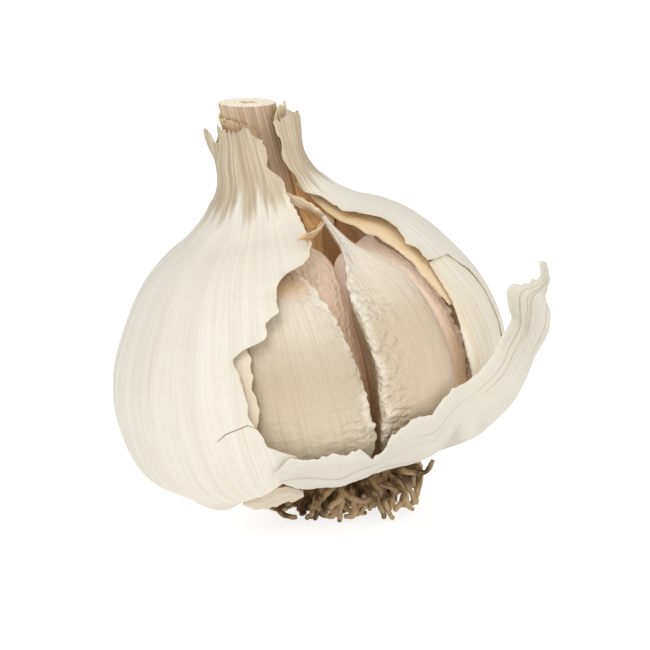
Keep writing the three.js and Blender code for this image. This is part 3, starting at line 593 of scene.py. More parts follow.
walls = dict(layRound=60)  # what the walls share
coreWall = dict(
    levels=30, columns=60, thick=0.3, jag=0.0, ribDepth=0.1, seed=41,
    rows=[[37, 7.6, 11.2, 34, 136], [38.5, 6.9, 9.4, 36, 136], [40, 6.2, 7.8, 40, 134],
          [42, 5.7, 6.4, 46, 134], [44, 5.4, 5.7, 50, 132], [46.5, 5.2, 5.3, 56, 130]])
coreSleeve = dict(
    levels=24, columns=60, thick=0.3, jag=0.4, ribDepth=0.1, seed=47,
    rows=[[25, 5.2, 5.2, -30, 150], [30, 5.3, 5.4, -32, 152], [34, 5.5, 5.8, -28, 152],
          [36.4, 5.9, 6.6, -16, 148]])
neckScale = dict(
    levels=26, columns=26, thick=0.28, jag=0.3, ribDepth=0.05, seed=44,
    rows=[[51.5, 5.2, 5.2, 52, 84], [52.6, 5.2, 5.2, 46, 88], [53.6, 5.3, 5.3, 44, 92],
          [54.4, 5.5, 5.4, 47, 94], [55.1, 5.7, 5.5, 54, 90]])
# dried cuff that is left on the stem at its left
stemCuff = dict(
    levels=26, columns=60, thick=0.25, jag=0.55, ribDepth=0.03, seed=49,
    rows=[[50.5, 4.35, 4.35, -120, 10], [52.6, 4.4, 4.4, -118, 5], [54, 4.45, 4.5, -112, -12],
          [55.2, 4.6, 4.55, -108, -48]])
cuffLeaf = driedFinish("stemCuff", tone(226, 200, 160), tone(176, 138, 92))
scaleLeaf = driedFinish("neckScale", tone(238, 224, 186), tone(206, 178, 126))
wallPiece("coreWall", coreWall, brownWall, "tan_skin", "core_wall")
wallPiece("coreSleeve", coreSleeve, brownWall, "tan_skin", "core_sleeve")
wallPiece("stemCuff", stemCuff, cuffLeaf, "stem", "stem")
wallPiece("neckScale", neckScale, scaleLeaf, "tan_skin", "neck_scale")
print("inner layers ready")


# half outline of a clove's section: share of the depth, share of the half width
cloveOutline = [
    [0.03, 0.2], [0.15, 0.38], [0.4, 0.58], [0.65, 0.83], [0.84, 1], [0.94, 0.78], [0.985, 0.44]]
clove = dict(levels=130, sides=150, wrinkle=0.05, ripple=0.3)
# stations: height, outer radius, half width, inner radius, outer turn, inner turn
# ridges: place on the outline (0 back, 8 front, 16 back again), width, height in mm, share of crinkles
frontClove = dict(seed=51, ridges=[(5.2, 0.35, 0.28, 0.45)], stations=[
    [1.9, 11, 2, 6.9, -1, -6], [3, 18.6, 4.4, 7.4, -1.5, -10], [5, 23.6, 6.4, 9.6, -1.5, -15],
    [8, 26.4, 8, 11.4, -1.5, -19], [12, 27.3, 8.8, 12.6, -1.2, -22], [16, 27.4, 8.8, 13, -1.2, -22],
    [20, 26.8, 8.5, 13, -1.2, -22], [24, 25.4, 7.7, 13, -1.5, -22], [27.5, 23.6, 6.7, 13, -1.5, -21],
    [30.5, 21.4, 5.3, 13.2, -1.5, -18], [32.6, 19.4, 3.7, 13.8, -1.5, -12],
    [33.8, 17.8, 1.8, 14.8, -2, -6], [34.2, 16.8, 0.7, 15.6, -2, -2]])
rightClove = dict(seed=55, ridges=[(10.6, 0.35, 0.3, 0.85)], stations=[
    [2.2, 11, 1.6, 7.2, 34, 34], [3.4, 18.4, 3.7, 8.4, 33, 34], [5.4, 23.2, 5.2, 10.8, 33, 34],
    [8, 25.8, 6.2, 13, 33.4, 34], [12, 27.3, 6.6, 15, 34.6, 34], [16, 27.7, 6.5, 15.6, 35.6, 34],
    [20, 27.2, 6.2, 15.6, 36.4, 34.5], [24, 25.8, 6, 15.4, 36.2, 34.5], [28, 23.4, 5.4, 15.6, 36.2, 35],
    [30, 21.4, 4.6, 15.6, 36.6, 36], [31.5, 19.6, 3.5, 15.4, 37.2, 37], [33, 17.7, 2.3, 14.6, 37.8, 38],
    [34.3, 15.9, 1.3, 13.6, 38.6, 38.8], [35.8, 14, 0.8, 12.2, 39.6, 39.6],
    [37.4, 12.2, 0.55, 10.9, 40.4, 40.4], [38.8, 11, 0.4, 10.2, 41, 41]])
sideClove = dict(seed=59, ridges=[(10.4, 0.3, 0.3, 0.8)], stations=[
    [2.1, 11, 2, 7, 80, 82], [3.4, 18, 4, 8, 81, 85], [5.6, 22.8, 5.9, 9.6, 82, 88],
    [8.4, 25.2, 7.3, 11.2, 82.3, 90], [12, 26.3, 7.9, 12.6, 82.3, 91], [16, 26.7, 8.1, 13, 82.3, 91],
    [20, 26.1, 7.8, 13, 82.7, 91], [24, 24.6, 7.2, 12.8, 83.5, 91], [28, 22, 5.8, 12.2, 84, 90],
    [31, 19.4, 4.3, 11.4, 84.5, 88], [33.4, 16.6, 2.7, 10.8, 84.5, 87], [35.2, 13.8, 1.4, 10.2, 84, 85],
    [36.2, 12, 0.6, 10.4, 83, 83]])
innerFrontClove = dict(seed=63, ridges=[], stations=[
    [2.4, 9.6, 1, 6.9, 15, 15], [4, 13.4, 1.7, 6.8, 15, 15], [8, 17.4, 2.1, 6.9, 16, 15],
    [13, 19.6, 2.2, 7, 17.5, 14], [18, 20.2, 2.3, 7, 17.5, 14], [24, 19.2, 2.6, 7, 17.5, 14],
    [28, 17.6, 3, 7, 17.5, 14], [31, 15.6, 3.2, 7, 17, 14], [33.4, 13.2, 3, 7, 16, 14],
    [35, 10.8, 1.8, 7.2, 15, 15], [35.9, 9.4, 0.7, 7.8, 15, 15]])
innerRightClove = dict(seed=67, ridges=[(6.8, 0.3, 0.15, 0.6)], stations=[
    [2.4, 9.6, 1, 6.9, 54, 54], [4, 15.5, 1.6, 6.8, 55, 54.5], [8, 23.2, 2.5, 7, 57, 55.5],
    [13, 25.4, 3.1, 7.2, 57.5, 56], [18, 25.5, 3.2, 7.2, 57.7, 56], [23, 24.1, 3.3, 7.4, 58, 56.5],
    [27, 21.6, 3.3, 7.6, 58.5, 57.5], [30, 18.6, 3.1, 7.8, 60, 59], [31.8, 16.2, 2.3, 8.8, 62, 62],
    [32.8, 14.7, 1.2, 11, 66, 66], [33.8, 14.1, 0.5, 13, 69, 69]])


def clovePiece(name, given, finish, slot, node):
    stations, ridges, seed = given["stations"], given["ridges"], given["seed"]
    mirrored = [[share, -width] for share, width in cloveOutline[::-1]]
    outline = np.array([[0, 0]] + cloveOutline + [[1, 0]] + mirrored, dtype=float)
    spots = np.linspace(0, 16, clove["sides"], endpoint=False)
    closed = np.concatenate([outline[-2:], outline, outline[:3]])
    section = curveThrough(closed, spots + 2)
    rows = resample(stations, clove["levels"])
    h, outer, half, inner, outerTurn, innerTurn = (rows[:, k][:, None] for k in range(6))
    back, front = polar(innerTurn, inner, h), polar(outerTurn, outer, h)
    side = polar(outerTurn + 90, 1.0, 0.0)
    rings = back + (front - back) * section[None, :, :1] \
        + side * (half[..., None] * section[None, :, 1:])
    level, spot = np.broadcast_arrays(h, spots[None, :])
    outward = rings - rings.mean(axis=1, keepdims=True)
    outward[..., 2] = 0
    outward /= np.maximum(np.linalg.norm(outward, axis=-1, keepdims=True), 1e-6)
    size = np.minimum(1, half / 3)
    ridge, crinkled = np.zeros(level.shape), np.full(level.shape, 0.12 if ridges else 0.4)
    lift = clove["wrinkle"] * grain(spot * 2.2, level / 5, seed) * size
    for where, width, tall, crinkles in ridges:
        drift = where + 0.35 * grain(level / 3, 0 * level, seed + 1)
        aside = (spot - drift - 0.15 * grain(level * 1.1, 0 * level, seed + 2)) / width
        crest = np.exp(-aside ** 2)
        lift = lift + tall * crest * (0.55 + 0.45 * grain(level * 1.5, 0 * level, seed + 3)) * size
        ripple = grain(spot * 1.1 + level * 0.4, level * 1.7, seed + 4)
        ripple = ripple + 0.6 * grain(spot * 2.3, level * 3.4, seed + 5)
        lift = lift + clove["ripple"] * np.exp(-(aside / 2.4) ** 2) * ripple * size
        ridge = np.maximum(ridge, crest)
        crinkled = np.maximum(crinkled, crinkles * np.exp(-(aside / 5) ** 2))
    rings = place(rings + outward * lift[..., None])
    rise = (level - level.min()) / (level.max() - level.min())
    uv = layOut(spot * 4.5, level)
    piece = loftPiece(name, rings, uv, dict(rise=rise, ridge=ridge, crinkled=crinkled))
    return settle(piece, finish, slot, node)


# on the cream clove skin the middle is darker than top and foot: a painted dark reflection
cream = cloveFinish("creamClove", tone(223, 213, 195), tone(196, 181, 156), tone(226, 212, 188),
                    tone(186, 164, 134), tipTanAndShade=0.7)
# copy of the clove skin for the right clove, whiter at the top: painted light on its upper part
whitishLitCopy = cloveFinish("whitishCloveLitCopy", tone(243, 235, 220), tone(204, 188, 162), tone(214, 194, 164),
                      tone(190, 168, 136))
pink = cloveFinish("pinkClove", tone(236, 213, 188), tone(222, 190, 156), tone(212, 168, 120),
                   tone(190, 156, 124), paintedGlow=0.1)
# a lighter copy of the pink clove skin with a stronger painted glow: painted light on the inner right
# clove deep in the opening
pinkLitCopy = cloveFinish("pinkCloveLitCopy", tone(252, 240, 226), tone(222, 198, 170), tone(196, 158, 112),
                       tone(206, 178, 148), paintedGlow=0.2)
clovePiece("frontClove", frontClove, cream, "clove_skin", "clove_front")
clovePiece("rightClove", rightClove, whitishLitCopy, "clove_skin", "clove_right")
clovePiece("sideClove", sideClove, cream, "clove_skin", "clove_side")
clovePiece("innerFrontClove", innerFrontClove, pink, "inner_clove_skin", "clove_inner_front")
clovePiece("innerRightClove", innerRightClove, pinkLitCopy, "inner_clove_skin", "clove_inner_right")
print("cloves ready")


stem = dict(levels=150, sides=208, ribs=41, ribDepth=0.09, cutStart=49, cutEnd=55.3, layRound=25)
# height, radius
stemProfile = [
    [1.6, 4.4], [6, 4], [16, 3.9], [28, 3.9], [38, 4], [46, 4], [52, 4.05], [55, 4.05],
    [56, 4.05], [56.42, 3.96], [56.52, 3.7], [56.48, 2.8], [56.5, 2.0], [56.45, 1.4], [56.15, 1.0],
    [55.8, 0.6]]


def makeStem():
    rows = resample(stemProfile, stem["levels"])
    h, r = rows[:, 0][:, None], rows[:, 1][:, None]
    turn = np.linspace(0, 360, stem["sides"], endpoint=False)[None, :]
    wall = smooth(3.2, 3.8, r)
    ribs = 0.3 * np.sin(np.radians(turn) * stem["ribs"] + 1.6 * np.sin(np.radians(turn * 3)) + h / 9) \
        + 0.35 * np.sin(np.radians(turn * 13) + h / 17)
    # the noise fades out where the turn starts again
    ribs = ribs + 0.6 * grain(turn / 7, h / 9, 72) * smooth(0, 12, turn) * smooth(360, 348, turn)
    # the top is cut level with the floor
    rightward = r * np.sin(np.radians(turn))
    slope = math.tan(math.radians(bulb["lean"]))
    level = smooth(stem["cutStart"], stem["cutEnd"], h) * slope * rightward
    high = h - level + 0.14 * (1 - wall) * grain(turn / 25, r * 2.2, 71) * smooth(0.6, 1.6, r)
    rings = place(polar(turn, r + stem["ribDepth"] * ribs * wall, high))
    # the fold mark holds painted shade in the grooves between the ribs
    marks = dict(cut=smooth(56.15, 56.42, h) * smooth(4.04, 3.9, r), deep=1 - smooth(41, 51, h),
                 pith=(1 - smooth(1.0, 1.6, r)) * (h > 50), fold=np.clip(0.5 - ribs, 0, 1) * wall)
    marks = {mark: np.broadcast_to(values, high.shape) for mark, values in marks.items()}
    uv = layOut(turn / 360 * stem["layRound"], h + r)
    f = Finish("stemFibre")
    fine = f.lines(3.0, 0.1)
    colour = f.blend(f.band(fine, 0.35, 0.7) * 0.7, tone(214, 194, 164), tone(176, 146, 112))
    # painted shade in the grooves between the ribs
    colour = f.blend(f.mark("fold") * 0.5, colour, tone(136, 106, 74))
    dots = f.band(f.speckle(1500, 2), 0.52, 0.66)
    face = f.blend(dots * 0.5, tone(246, 236, 218), tone(222, 202, 168))
    colour = f.blend(f.mark("cut"), colour, face)
    colour = f.blend(f.mark("pith") * 0.8, colour, tone(186, 158, 112))
    height = fine * 0.7 + dots * 0.2
    # light that comes through the dry leaves onto the part of the stem inside the neck
    inside = f.blend(f.mark("deep"), tone(0, 0, 0), tone(226, 178, 122))
    finish = f.end(colour, 0.66, height, depth=0.0002, strength=0.5, Specular_IOR_Level=0.3,
                   Emission_Color=inside, Emission_Strength=0.12)
    return settle(loftPiece("stemStub", rings, uv, marks), finish, "stem", "stem")


makeStem()
print("stem ready")


# peeled skin: collar under the front clove and raised flap at the right
peel = dict(rows=250, columns=72, thick=0.3, rimThick=0.12, bulge=0.7, ruffle=0.09)
plateEdge = dict(radius=13.6, height=1, sag=0.65)
# top x d h, bottom x d h, and the azimuth at the plate where it still meets it
peelStations = [
    [[-8, 29, 8.2], [-6.6, 29.1, 7], -12], [[-6.2, 29.5, 9.4], [-5.7, 28.9, 6.8], -10.5],
    [[-4.6, 29.7, 10.1], [-4.4, 28.6, 6.6], -9.5], [[-2.6, 29.6, 9.7], [-2.4, 28, 6], -7],
    [[0.8, 29.4, 9.5], [0.7, 27.2, 4.8], 1], [[2.8, 29.2, 8.9], [2.8, 27.2, 5.2], 7],
    [[5.1, 28.8, 8.8], [4.7, 27, 5.5], 13], [[6.3, 27.8, 7.1], [6.3, 26.8, 5.8], 18],
    [[8, 27, 7.6], [7.8, 25.6, 5.8], 22], [[9.5, 26.8, 9.1], [9.2, 24.9, 5.6], 26],
    [[12.4, 25.6, 10.5], [12, 24, 5.2], 32], [[15.3, 24, 10.5], [15.4, 23, 4.8], 39],
    [[19, 21.7, 12.1], [19.3, 22, 4.7]], [[22.3, 19.6, 13], [23.4, 20.8, 5.9]],
    [[26, 17.5, 14.8], [27.4, 19.5, 8.1]], [[27.9, 16.5, 17.1], [29.9, 19, 10.7]],
    [[30, 16.5, 19.4], [31.8, 19, 13.5]], [[30, 17, 21.5], [34.5, 19.5, 16.7]],
    [[30.6, 17.4, 24.1], [35.6, 19.5, 19.6]], [[33.6, 17.5, 24.0], [35.2, 19, 21.5]],
    [[35.4, 17.5, 24.6], [36.1, 18.5, 23.6]], [[35.7, 17.5, 26.9], [36.3, 18, 26.1]]]


def makePeel():
    s = peel
    grid = []
    for station in peelStations:
        top, bottom = np.array(station[0], dtype=float), np.array(station[1], dtype=float)
        out = np.array([top[0] + bottom[0], top[1] + bottom[1], 0])
        out /= np.linalg.norm(out)
        row = []
        for k in range(8):
            if len(station) == 2:
                t = k / 7
                row.append(bottom + (top - bottom) * t + out * s["bulge"] * math.sin(math.pi * t))
            elif k < 3:
                t = k / 3
                root = polar(station[2], plateEdge["radius"], plateEdge["height"])
                droop = np.array([0, 0, plateEdge["sag"] * math.sin(math.pi * t)])
                row.append(root + (bottom - root) * t - droop)
            else:
                t = (k - 3) / 4
                row.append(bottom + (top - bottom) * t + out * s["bulge"] * 0.6 * math.sin(math.pi * t))
        grid.append(row)
    grid = resample(np.array(grid), s["rows"])
    grid = resample(grid.transpose(1, 0, 2), s["columns"]).transpose(1, 0, 2)
    i, k = np.meshgrid(np.linspace(0, 21, s["rows"]), np.linspace(0, 7, s["columns"]), indexing="ij")
    # the torn rim is nicked along its upper edge
    climb = smooth(5, 7, k)
    nick = 0.75 * torn(i * 1.9, 81)
    grid[..., 2] += climb * nick
    runLong, runWide = np.gradient(grid, axis=0), np.gradient(grid, axis=1)
    normal = np.cross(runLong, runWide)
    normal /= np.maximum(np.linalg.norm(normal, axis=-1, keepdims=True), 1e-9)
    ruffle = s["ruffle"] * grain(i * 1.1, k * 0.9, 83) + 0.025 * grain(i * 0.35, k * 7, 84) \
        + 0.03 * grain(i * 5, k * 3, 85)
    fade = smooth(0, 1.2, k)
    grid = grid + normal * (ruffle * fade)[..., None]
    rimNear = np.minimum(np.minimum(7 - k, 21 - i), i) * 1.2
    thick = s["rimThick"] + (s["thick"] - s["rimThick"]) * smooth(0, 1.5, rimNear)
    outer = place(grid + normal * (thick / 2)[..., None])
    inner = place(grid - normal * (thick / 2)[..., None])
    lengthwise = np.concatenate([[0], np.cumsum(np.linalg.norm(np.diff(grid[:, 40], axis=0), axis=1))])
    uv = layOut(k * 1.6, lengthwise[:, None])
    finish = peelFinish()
    return settle(leafPiece("peeledSkin", outer, inner, uv, dict(edge=np.exp(-rimNear / 0.6))),
                  finish, "paper_skin", "peeled_skin")


def peelFinish():
    # the peeled leaf shows its veins along the length
    f = Finish("peeledLeaf")
    fine = f.lines(3.0, 0.06)
    veins = f.band(f.noise(f.lay(1.5, 0.03), detail=1), 0.665, 0.685)
    cloud = f.speckle(80, 3)
    colour = f.blend(f.band(fine, 0.35, 0.75) * 0.35, tone(213, 208, 195), tone(197, 190, 174))
    colour = f.blend(veins * 0.5, colour, tone(176, 148, 106))
    colour = f.blend(f.band(cloud, 0.5, 0.8) * 0.3, colour, tone(228, 220, 202))
    colour = f.blend(f.mark("edge") * 0.35, colour, tone(246, 240, 228))
    height = fine * 0.6 + veins * 0.4 + f.speckle(300, 3) * 0.3
    return f.end(colour, 0.52, height, depth=0.00025, strength=0.5, Specular_IOR_Level=0.35)


makePeel()


ribbons = dict(levels=60, columns=15)  # what the ribbons share


def ribbonPiece(name, given, finish, slot, node):
    # narrow leaf along a path; path: x d h, direction across, share of the width
    s = dict(ribbons, **given)
    path = resample(s["path"], s["levels"])
    spot, across, share = path[:, :3], path[:, 3:6], path[:, 6:]
    run = np.gradient(spot, axis=0)
    run /= np.linalg.norm(run, axis=1)[:, None]
    across = across / np.linalg.norm(across, axis=1)[:, None]
    depth = np.cross(run, across)
    depth /= np.linalg.norm(depth, axis=1)[:, None]
    w = np.linspace(-1, 1, s["columns"])[None, :]
    t = np.linspace(0, 1, s["levels"])[:, None]
    span = share / 2 * s["width"] * (1 + 0.18 * grain(t * 14, np.sign(w) * 3 + 0 * t, s["seed"]))
    lift = s["curl"] * (w ** 2 - 0.4) + 0.08 * grain(t * 9, w * 3, s["seed"] + 1)
    sheet = spot[:, None] + across[:, None] * (w * span)[..., None] + depth[:, None] * lift[..., None]
    wall = (depth * s["thick"] / 2)[:, None]
    uv = layOut(w * 1.2, t * 12)
    marks = dict(edge=np.abs(w) ** 6 + 0 * t)
    piece = leafPiece(name, place(sheet + wall), place(sheet - wall), uv, marks)
    return settle(piece, finish, slot, node)


driedTail = dict(width=1.6, thick=0.25, curl=0.2, seed=91, path=[
    [1.2, 5.8, 42.9, 0, 0.2, 1, 0.5], [2.8, 6.2, 42.1, 0.3, 0.1, 1, 1],
    [4.2, 6.6, 41.2, 0.5, 0.3, 1, 1], [5.6, 6.8, 40.1, 0.4, 0.9, 1, 0.9],
    [6.6, 6.7, 39, 0.2, 0.8, 1, 0.9], [7.5, 6.1, 38, 0.1, 0.3, 1, 0.7],
    [8.3, 5.6, 37.1, 0.1, 0.3, 1, 0.4]])
# dried, curled tip of the inner front clove
curledTip = dict(width=1.15, thick=0.25, curl=0.25, seed=93, path=[
    [3.3, 18.9, 38.3, 0.1, 0.4, 1, 0.12], [4.1, 18.3, 38.3, 0.1, 0.4, 1, 0.5],
    [4.7, 16.8, 37.9, 0.2, 0.3, 1, 1.1], [5.4, 14, 37.5, 0.6, 0.3, 0.8, 1.2],
    [6.3, 11.5, 37.7, 0.8, 0.2, 0.4, 0.9], [7, 9.6, 38.2, 0.9, 0.1, 0.2, 0.4]])
skinShred = dict(width=1.5, thick=0.2, curl=0.25, seed=95, path=[
    [-14.4, 12.8, 1, 0.1, 0, 1, 0.5], [-12.6, 13.2, 0.5, 0.1, 0.2, 1, 1.2],
    [-10.6, 13.6, 0.6, 0.1, 0.2, 1, 1.5], [-8.8, 13.9, 0.9, 0.1, 0.2, 1, 1.7],
    [-7, 14.1, 0.9, 0.1, 0.1, 1, 1.4], [-5.4, 14.1, 0.6, 0.1, 0, 1, 0.6]])
ribbonPiece("driedTail", driedTail, paleLeaf, "tan_skin", "dried_tail")
ribbonPiece("curledTip", curledTip, tipLeaf, "inner_clove_skin", "clove_inner_front")
ribbonPiece("skinShred", skinShred, innerPaper, "paper_skin", "skin_shred")
print("peeled leaves ready")


roots = dict(count=48, short=250, reach=12.4, radius=0.58, wobble=3.0, wobbleScale=260.0, knots=24,
             sides=8, floorSink=0.3, thickStart=1.08, thickTip=0.62, knobScale=900, knobLeast=0.72,
             knobMost=1.2, seed=41)
plateRings = [[1.1, 6], [0.6, 7.8], [-0.5, 8.4], [-1.4, 7.4], [-1.9, 4]]
# the ones that stand out at the front and right
namedRoots = [
    [[-1.8, 6.4, -0.9], [-3.6, 10.6, -1.2], [-4.2, 12.6, -1.9], [-5.9, 11.6, -4.4]],
    [[0.2, 6.4, -0.9], [-0.6, 10, -2.2], [-1.4, 11.2, -3.8], [-1.8, 11.4, -6.4]],
    [[-4.2, 5.2, -0.9], [-7.6, 9.6, -1.5], [-9.6, 11, -1.7], [-7.2, 11.9, -3.2]],
    [[5.4, 4.4, -0.9], [9.6, 6.6, -1.6], [12.4, 7.6, -2.4], [14, 7.8, -0.9]],
    [[3.6, 5.8, -0.9], [6.5, 9.4, -2.2], [9.2, 9.6, -4.4], [6.6, 9, -6.1]],
    [[5.2, 3.8, -0.9], [8.6, 5.4, -3], [9.6, 5.8, -6.4], [8, 4.4, -8.6]],
    [[5.4, -2.6, -0.9], [8.6, -4.6, -3], [9.4, -5.4, -6.4], [7.8, -6.4, -8.6]]]


def rootPaths():
    # the same roots as the solid, from the same repeatable numbers
    state = roots["seed"]
    lean, reach = math.radians(bulb["lean"]), roots["reach"]

    def rand():
        nonlocal state
        state = (state * 1664525 + 1013904223) % 4294967296
        return state / 4294967296

    paths = [np.array(path, dtype=float) for path in namedRoots]
    for i in range(roots["count"]):
        share = math.sqrt((i + 0.5) / roots["count"])
        turn = i * 137.5
        start = 1.6 + 5 * share
        outward = 1.4 + 5 * share ** 2 * (0.75 + 0.5 * rand())
        curl = 44 * (rand() - 0.5)
        # the tip comes back in and rests on the floor; the front and right roots set off higher
        tip = polar(turn + curl * 1.6, min(reach, start + outward * (0.5 + 0.6 * rand())), 0.0)
        floor = -(bulb["lift"] + tip[0] * math.sin(lean)) / math.cos(lean)
        fall = -1.2 - floor + roots["floorSink"] - 1.8 * rand() ** 2
        high = share * float(smooth(90, 50, turnBetween(turn, 45)))
        tip[2] = -1.2 - fall
        paths.append(np.array([
            polar(turn, start, -0.9),
            polar(turn + curl * 0.3, min(reach, start + outward * 0.6), -1.3 - 0.1 * fall + 0.8 * high),
            polar(turn + curl, min(reach, start + outward), -1.4 - 0.5 * fall + 1.2 * high),
            tip]))
    # short curly ones fill the tuft
    for i in range(roots["short"]):
        share = math.sqrt((i + 0.5) / roots["short"])
        turn = i * 137.5 + 67
        start = 1.2 + 6.2 * share
        outward = 0.6 + 3.6 * share * rand()
        curl = 64 * (rand() - 0.5)
        fall = 1.6 + 3.8 * rand()
        paths.append(np.array([
            polar(turn, start, -0.9),
            polar(turn + curl * 0.2, min(reach, start + outward * 0.6), -1.4 - 0.2 * fall),
            polar(turn + curl * 0.7, min(reach, start + outward), -1.4 - 0.7 * fall),
            polar(turn + curl * 1.3, min(reach, start + outward * 0.8), -1.6 - fall)]))
    return paths


def rootTree(finish):
    tree = bpy.data.node_groups.new("growRoots", "GeometryNodeTree")
    face = tree.interface
    face.new_socket("Geometry", in_out="INPUT", socket_type="NodeSocketGeometry")
    for label, kind in (("Root Radius", "Float"), ("Wobble", "Float"), ("Wobble Scale", "Float"),
                        ("Knots", "Int"), ("Sides", "Int")):
        face.new_socket(label, in_out="INPUT", socket_type="NodeSocket" + kind)
    face.new_socket("Geometry", in_out="OUTPUT", socket_type="NodeSocketGeometry")

    def add(kind, sockets=None, out=0, **settings):
        # a node with its sockets linked or set, gives back one of its outputs
        node = tree.nodes.new(kind)
        for key, value in settings.items():
            setattr(node, key, value)
        for key, value in (sockets or {}).items():
            if isinstance(value, bpy.types.NodeSocket):
                tree.links.new(value, node.inputs[key])
            else:
                node.inputs[key].default_value = value
        return node.outputs[out] if node.outputs else None

    given = tree.nodes.new("NodeGroupInput").outputs
    progress = add("GeometryNodeSplineParameter", out="Factor")
    strands = add("GeometryNodeResampleCurve", {"Curve": given["Geometry"], "Count": given["Knots"]})
    # wobble grows from the plate to the tip
    noise = add("ShaderNodeTexNoise", {"Scale": given["Wobble Scale"], "Detail": 2}, "Color")
    centred = add("ShaderNodeVectorMath", {0: noise, 1: (0.5, 0.5, 0.5)}, operation="SUBTRACT")
    amount = add("ShaderNodeMath", {0: progress, 1: given["Wobble"]}, operation="MULTIPLY")
    offset = add("ShaderNodeVectorMath", {0: centred, "Scale": amount}, operation="SCALE")
    strands = add("GeometryNodeSetPosition", {0: strands, "Offset": offset})
    # thinner toward the tip, knobbly along the way
    taper = add("ShaderNodeMapRange", {0: progress, 3: roots["thickStart"], 4: roots["thickTip"]})
    knob = add("ShaderNodeTexNoise", {"Scale": roots["knobScale"]})
    knobSize = add("ShaderNodeMapRange", {0: knob, 1: 0.3, 2: 0.7, 3: roots["knobLeast"],
                                          4: roots["knobMost"]})
    girth = add("ShaderNodeMath", {0: taper, 1: knobSize}, operation="MULTIPLY")
    strands = add("GeometryNodeSetCurveRadius", {0: strands, "Radius": girth})
    ring = add("GeometryNodeCurvePrimitiveCircle", mode="RADIUS", sockets={
        "Resolution": given["Sides"], "Radius": given["Root Radius"]})
    tubes = add("GeometryNodeCurveToMesh", {"Curve": strands, "Profile Curve": ring, "Fill Caps": True,
                                            "Scale": add("GeometryNodeInputRadius")})
    solid = add("GeometryNodeRealizeInstances", {0: tubes})
    painted = add("GeometryNodeSetMaterial", {"Geometry": solid, "Material": finish})
    add("NodeGroupOutput", {0: painted})
    return tree


def makeRoots():
    f = Finish("dryRoot")
    fine = f.noise(f.here(), scale=900, detail=4, roughness=0.6)
    broad = f.speckle(230, 2)
    # broad patches from dark brown to tan: the roots' own colour and painted shade in the tuft
    colour = f.blend(f.band(broad, 0.42, 0.6), tone(86, 64, 40), tone(176, 150, 112))
    # fine light flecks: painted highlights
    colour = f.blend(f.band(fine, 0.5, 0.72) * 0.45, colour, tone(206, 186, 148))
    finish = f.end(colour, 0.8, fine * 0.6 + broad * 0.3, depth=0.0002, strength=0.6,
                   Specular_IOR_Level=0.25)
    curve = bpy.data.curves.new("rootPaths", "CURVE")
    curve.dimensions = "3D"
    for path in rootPaths():
        points = place(resample(path, 10))
        points[:, 2] = np.maximum(points[:, 2], 0.0006)
        spline = curve.splines.new("POLY")
        spline.points.add(len(points) - 1)
        weighted = np.concatenate([points, np.ones((len(points), 1))], axis=1)
        spline.points.foreach_set("co", weighted.ravel())
    guide = newObject("rootPaths", curve)
    tree = rootTree(finish)
    grow = guide.modifiers.new("growRoots", "NODES")
    grow.node_group = tree
    sizes = {"Root Radius": roots["radius"] * 0.001, "Wobble": roots["wobble"] * 0.001,
             "Wobble Scale": roots["wobbleScale"], "Knots": roots["knots"], "Sides": roots["sides"]}
    for item in tree.interface.items_tree:
        if item.in_out == "INPUT" and item.name in sizes:
            grow[item.identifier] = sizes[item.name]
    grown = guide.evaluated_get(bpy.context.evaluated_depsgraph_get())
    mesh = bpy.data.meshes.new_from_object(grown)
    guide.modifiers.clear()
    bpy.data.objects.remove(guide)
    mesh.name = "rootTuft"
    spots = np.empty(len(mesh.vertices) * 3, dtype=np.float32)
    mesh.vertices.foreach_get("co", spots)
    spots = np.clip(spots.reshape(-1, 3), np.maximum(boxLow, [-1, -1, 0]), boxHigh)
    mesh.vertices.foreach_set("co", spots.astype(np.float32).ravel())
    mesh.update()
    mesh.shade_smooth()
    settle(newObject("rootTuft", mesh), finish, "roots", "root_plate")
    rows = resample(plateRings, 26)
    turn = np.linspace(0, 360, 90, endpoint=False)[None, :]
    h, r = rows[:, 0][:, None], rows[:, 1][:, None]
    bumps = 1 + 0.03 * grain(turn / 12, h * 2, 97)
    rings = place(polar(turn, r * bumps, h + 0.12 * grain(turn / 9, r, 98)))
    plate = loftPiece("rootPlate", rings, layOut(turn / 10, r), {})
    settle(plate, finish, "roots", "root_plate")
    print("roots:", len(mesh.polygons), "faces")


makeRoots()


# the cloves under the whole skin keep their CAD shape
def underFinish():
    f = Finish("hiddenClove")
    cloud = f.speckle(120, 3)
    colour = f.blend(f.band(cloud, 0.3, 0.7), tone(206, 160, 110), tone(226, 190, 144))
    # the hidden cloves glow faintly in their own colour: painted light, as if light came through the
    # skin
    return f.end(colour, 0.42, cloud, depth=0.0002, strength=0.3, Specular_IOR_Level=0.4,
                 Emission_Color=colour, Emission_Strength=0.08)


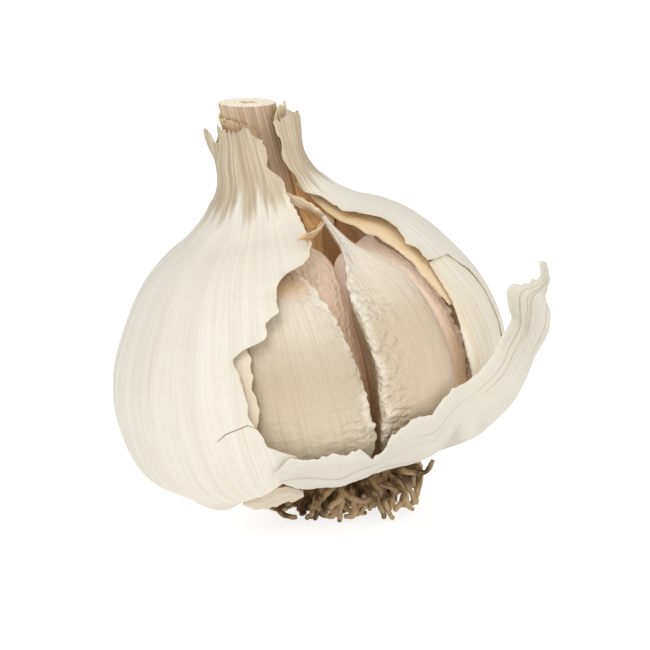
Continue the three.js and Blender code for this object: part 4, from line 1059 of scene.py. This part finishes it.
hiddenFinish = underFinish()
for name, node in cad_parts.items():
    if name.startswith("clove_") and not node.hide_render:
        for part in node.material_slots:
            part.material = hiddenFinish


studio = dict(floorSize=6.0, floorShade=0.35, floorGlow=0.8, world=0.55, aim=(0, 0, 0.025))
# power, width and place of each light
lights = dict(key=(2.8, 0.5, (-0.28, -0.5, 0.72)), front=(1.15, 0.6, (0.12, -0.85, 0.3)),
              fill=(1.5, 0.6, (0.6, -0.4, 0.62)), back=(0.6, 0.6, (0.2, 0.7, 0.6)))
view = dict(lens=165.7, sensor=36, rise=13, distance=0.45, aim=(-0.000206, 0.004818, 0.02642))


def makeStage():
    size = studio["floorSize"] / 2
    mesh = bpy.data.meshes.new("floor")
    corners = [(-size, -size, 0), (size, -size, 0), (size, size, 0), (-size, size, 0)]
    mesh.from_pydata(corners, [], [(0, 1, 2, 3)])
    floor = newObject("floor", mesh)
    f = Finish("paleFloor")
    pale = (studio["floorShade"],) * 3 + (1,)
    floor.data.materials.append(f.end(pale, 0.9, Specular_IOR_Level=0.0, Emission_Color=(1, 1, 1, 1),
                                      Emission_Strength=studio["floorGlow"]))
    world = bpy.data.worlds.new("studio")
    world.use_nodes = True
    back = world.node_tree.nodes["Background"]
    back.inputs["Color"].default_value = (1, 1, 1, 1)
    back.inputs["Strength"].default_value = studio["world"]
    bpy.context.scene.world = world
    for name, (power, width, spot) in lights.items():
        light = bpy.data.lights.new(name, "AREA")
        light.energy, light.size = power, width
        lamp = newObject(name, light)
        lamp.location = spot
        ray = Vector(studio["aim"]) - Vector(spot)
        lamp.rotation_euler = ray.to_track_quat("-Z", "Y").to_euler()


def makeCamera():
    lens = bpy.data.cameras.new("camera")
    lens.lens, lens.sensor_width, lens.clip_start = view["lens"], view["sensor"], 0.01
    camera = newObject("camera", lens)
    rise = math.radians(view["rise"])
    back = Vector((0, -math.cos(rise), math.sin(rise)))
    camera.location = Vector(view["aim"]) + view["distance"] * back
    camera.rotation_euler = (math.radians(90) - rise, 0, 0)
    bpy.context.scene.camera = camera


makeStage()
makeCamera()
bpy.context.scene.view_settings.view_transform = "Standard"

print("scene ready")
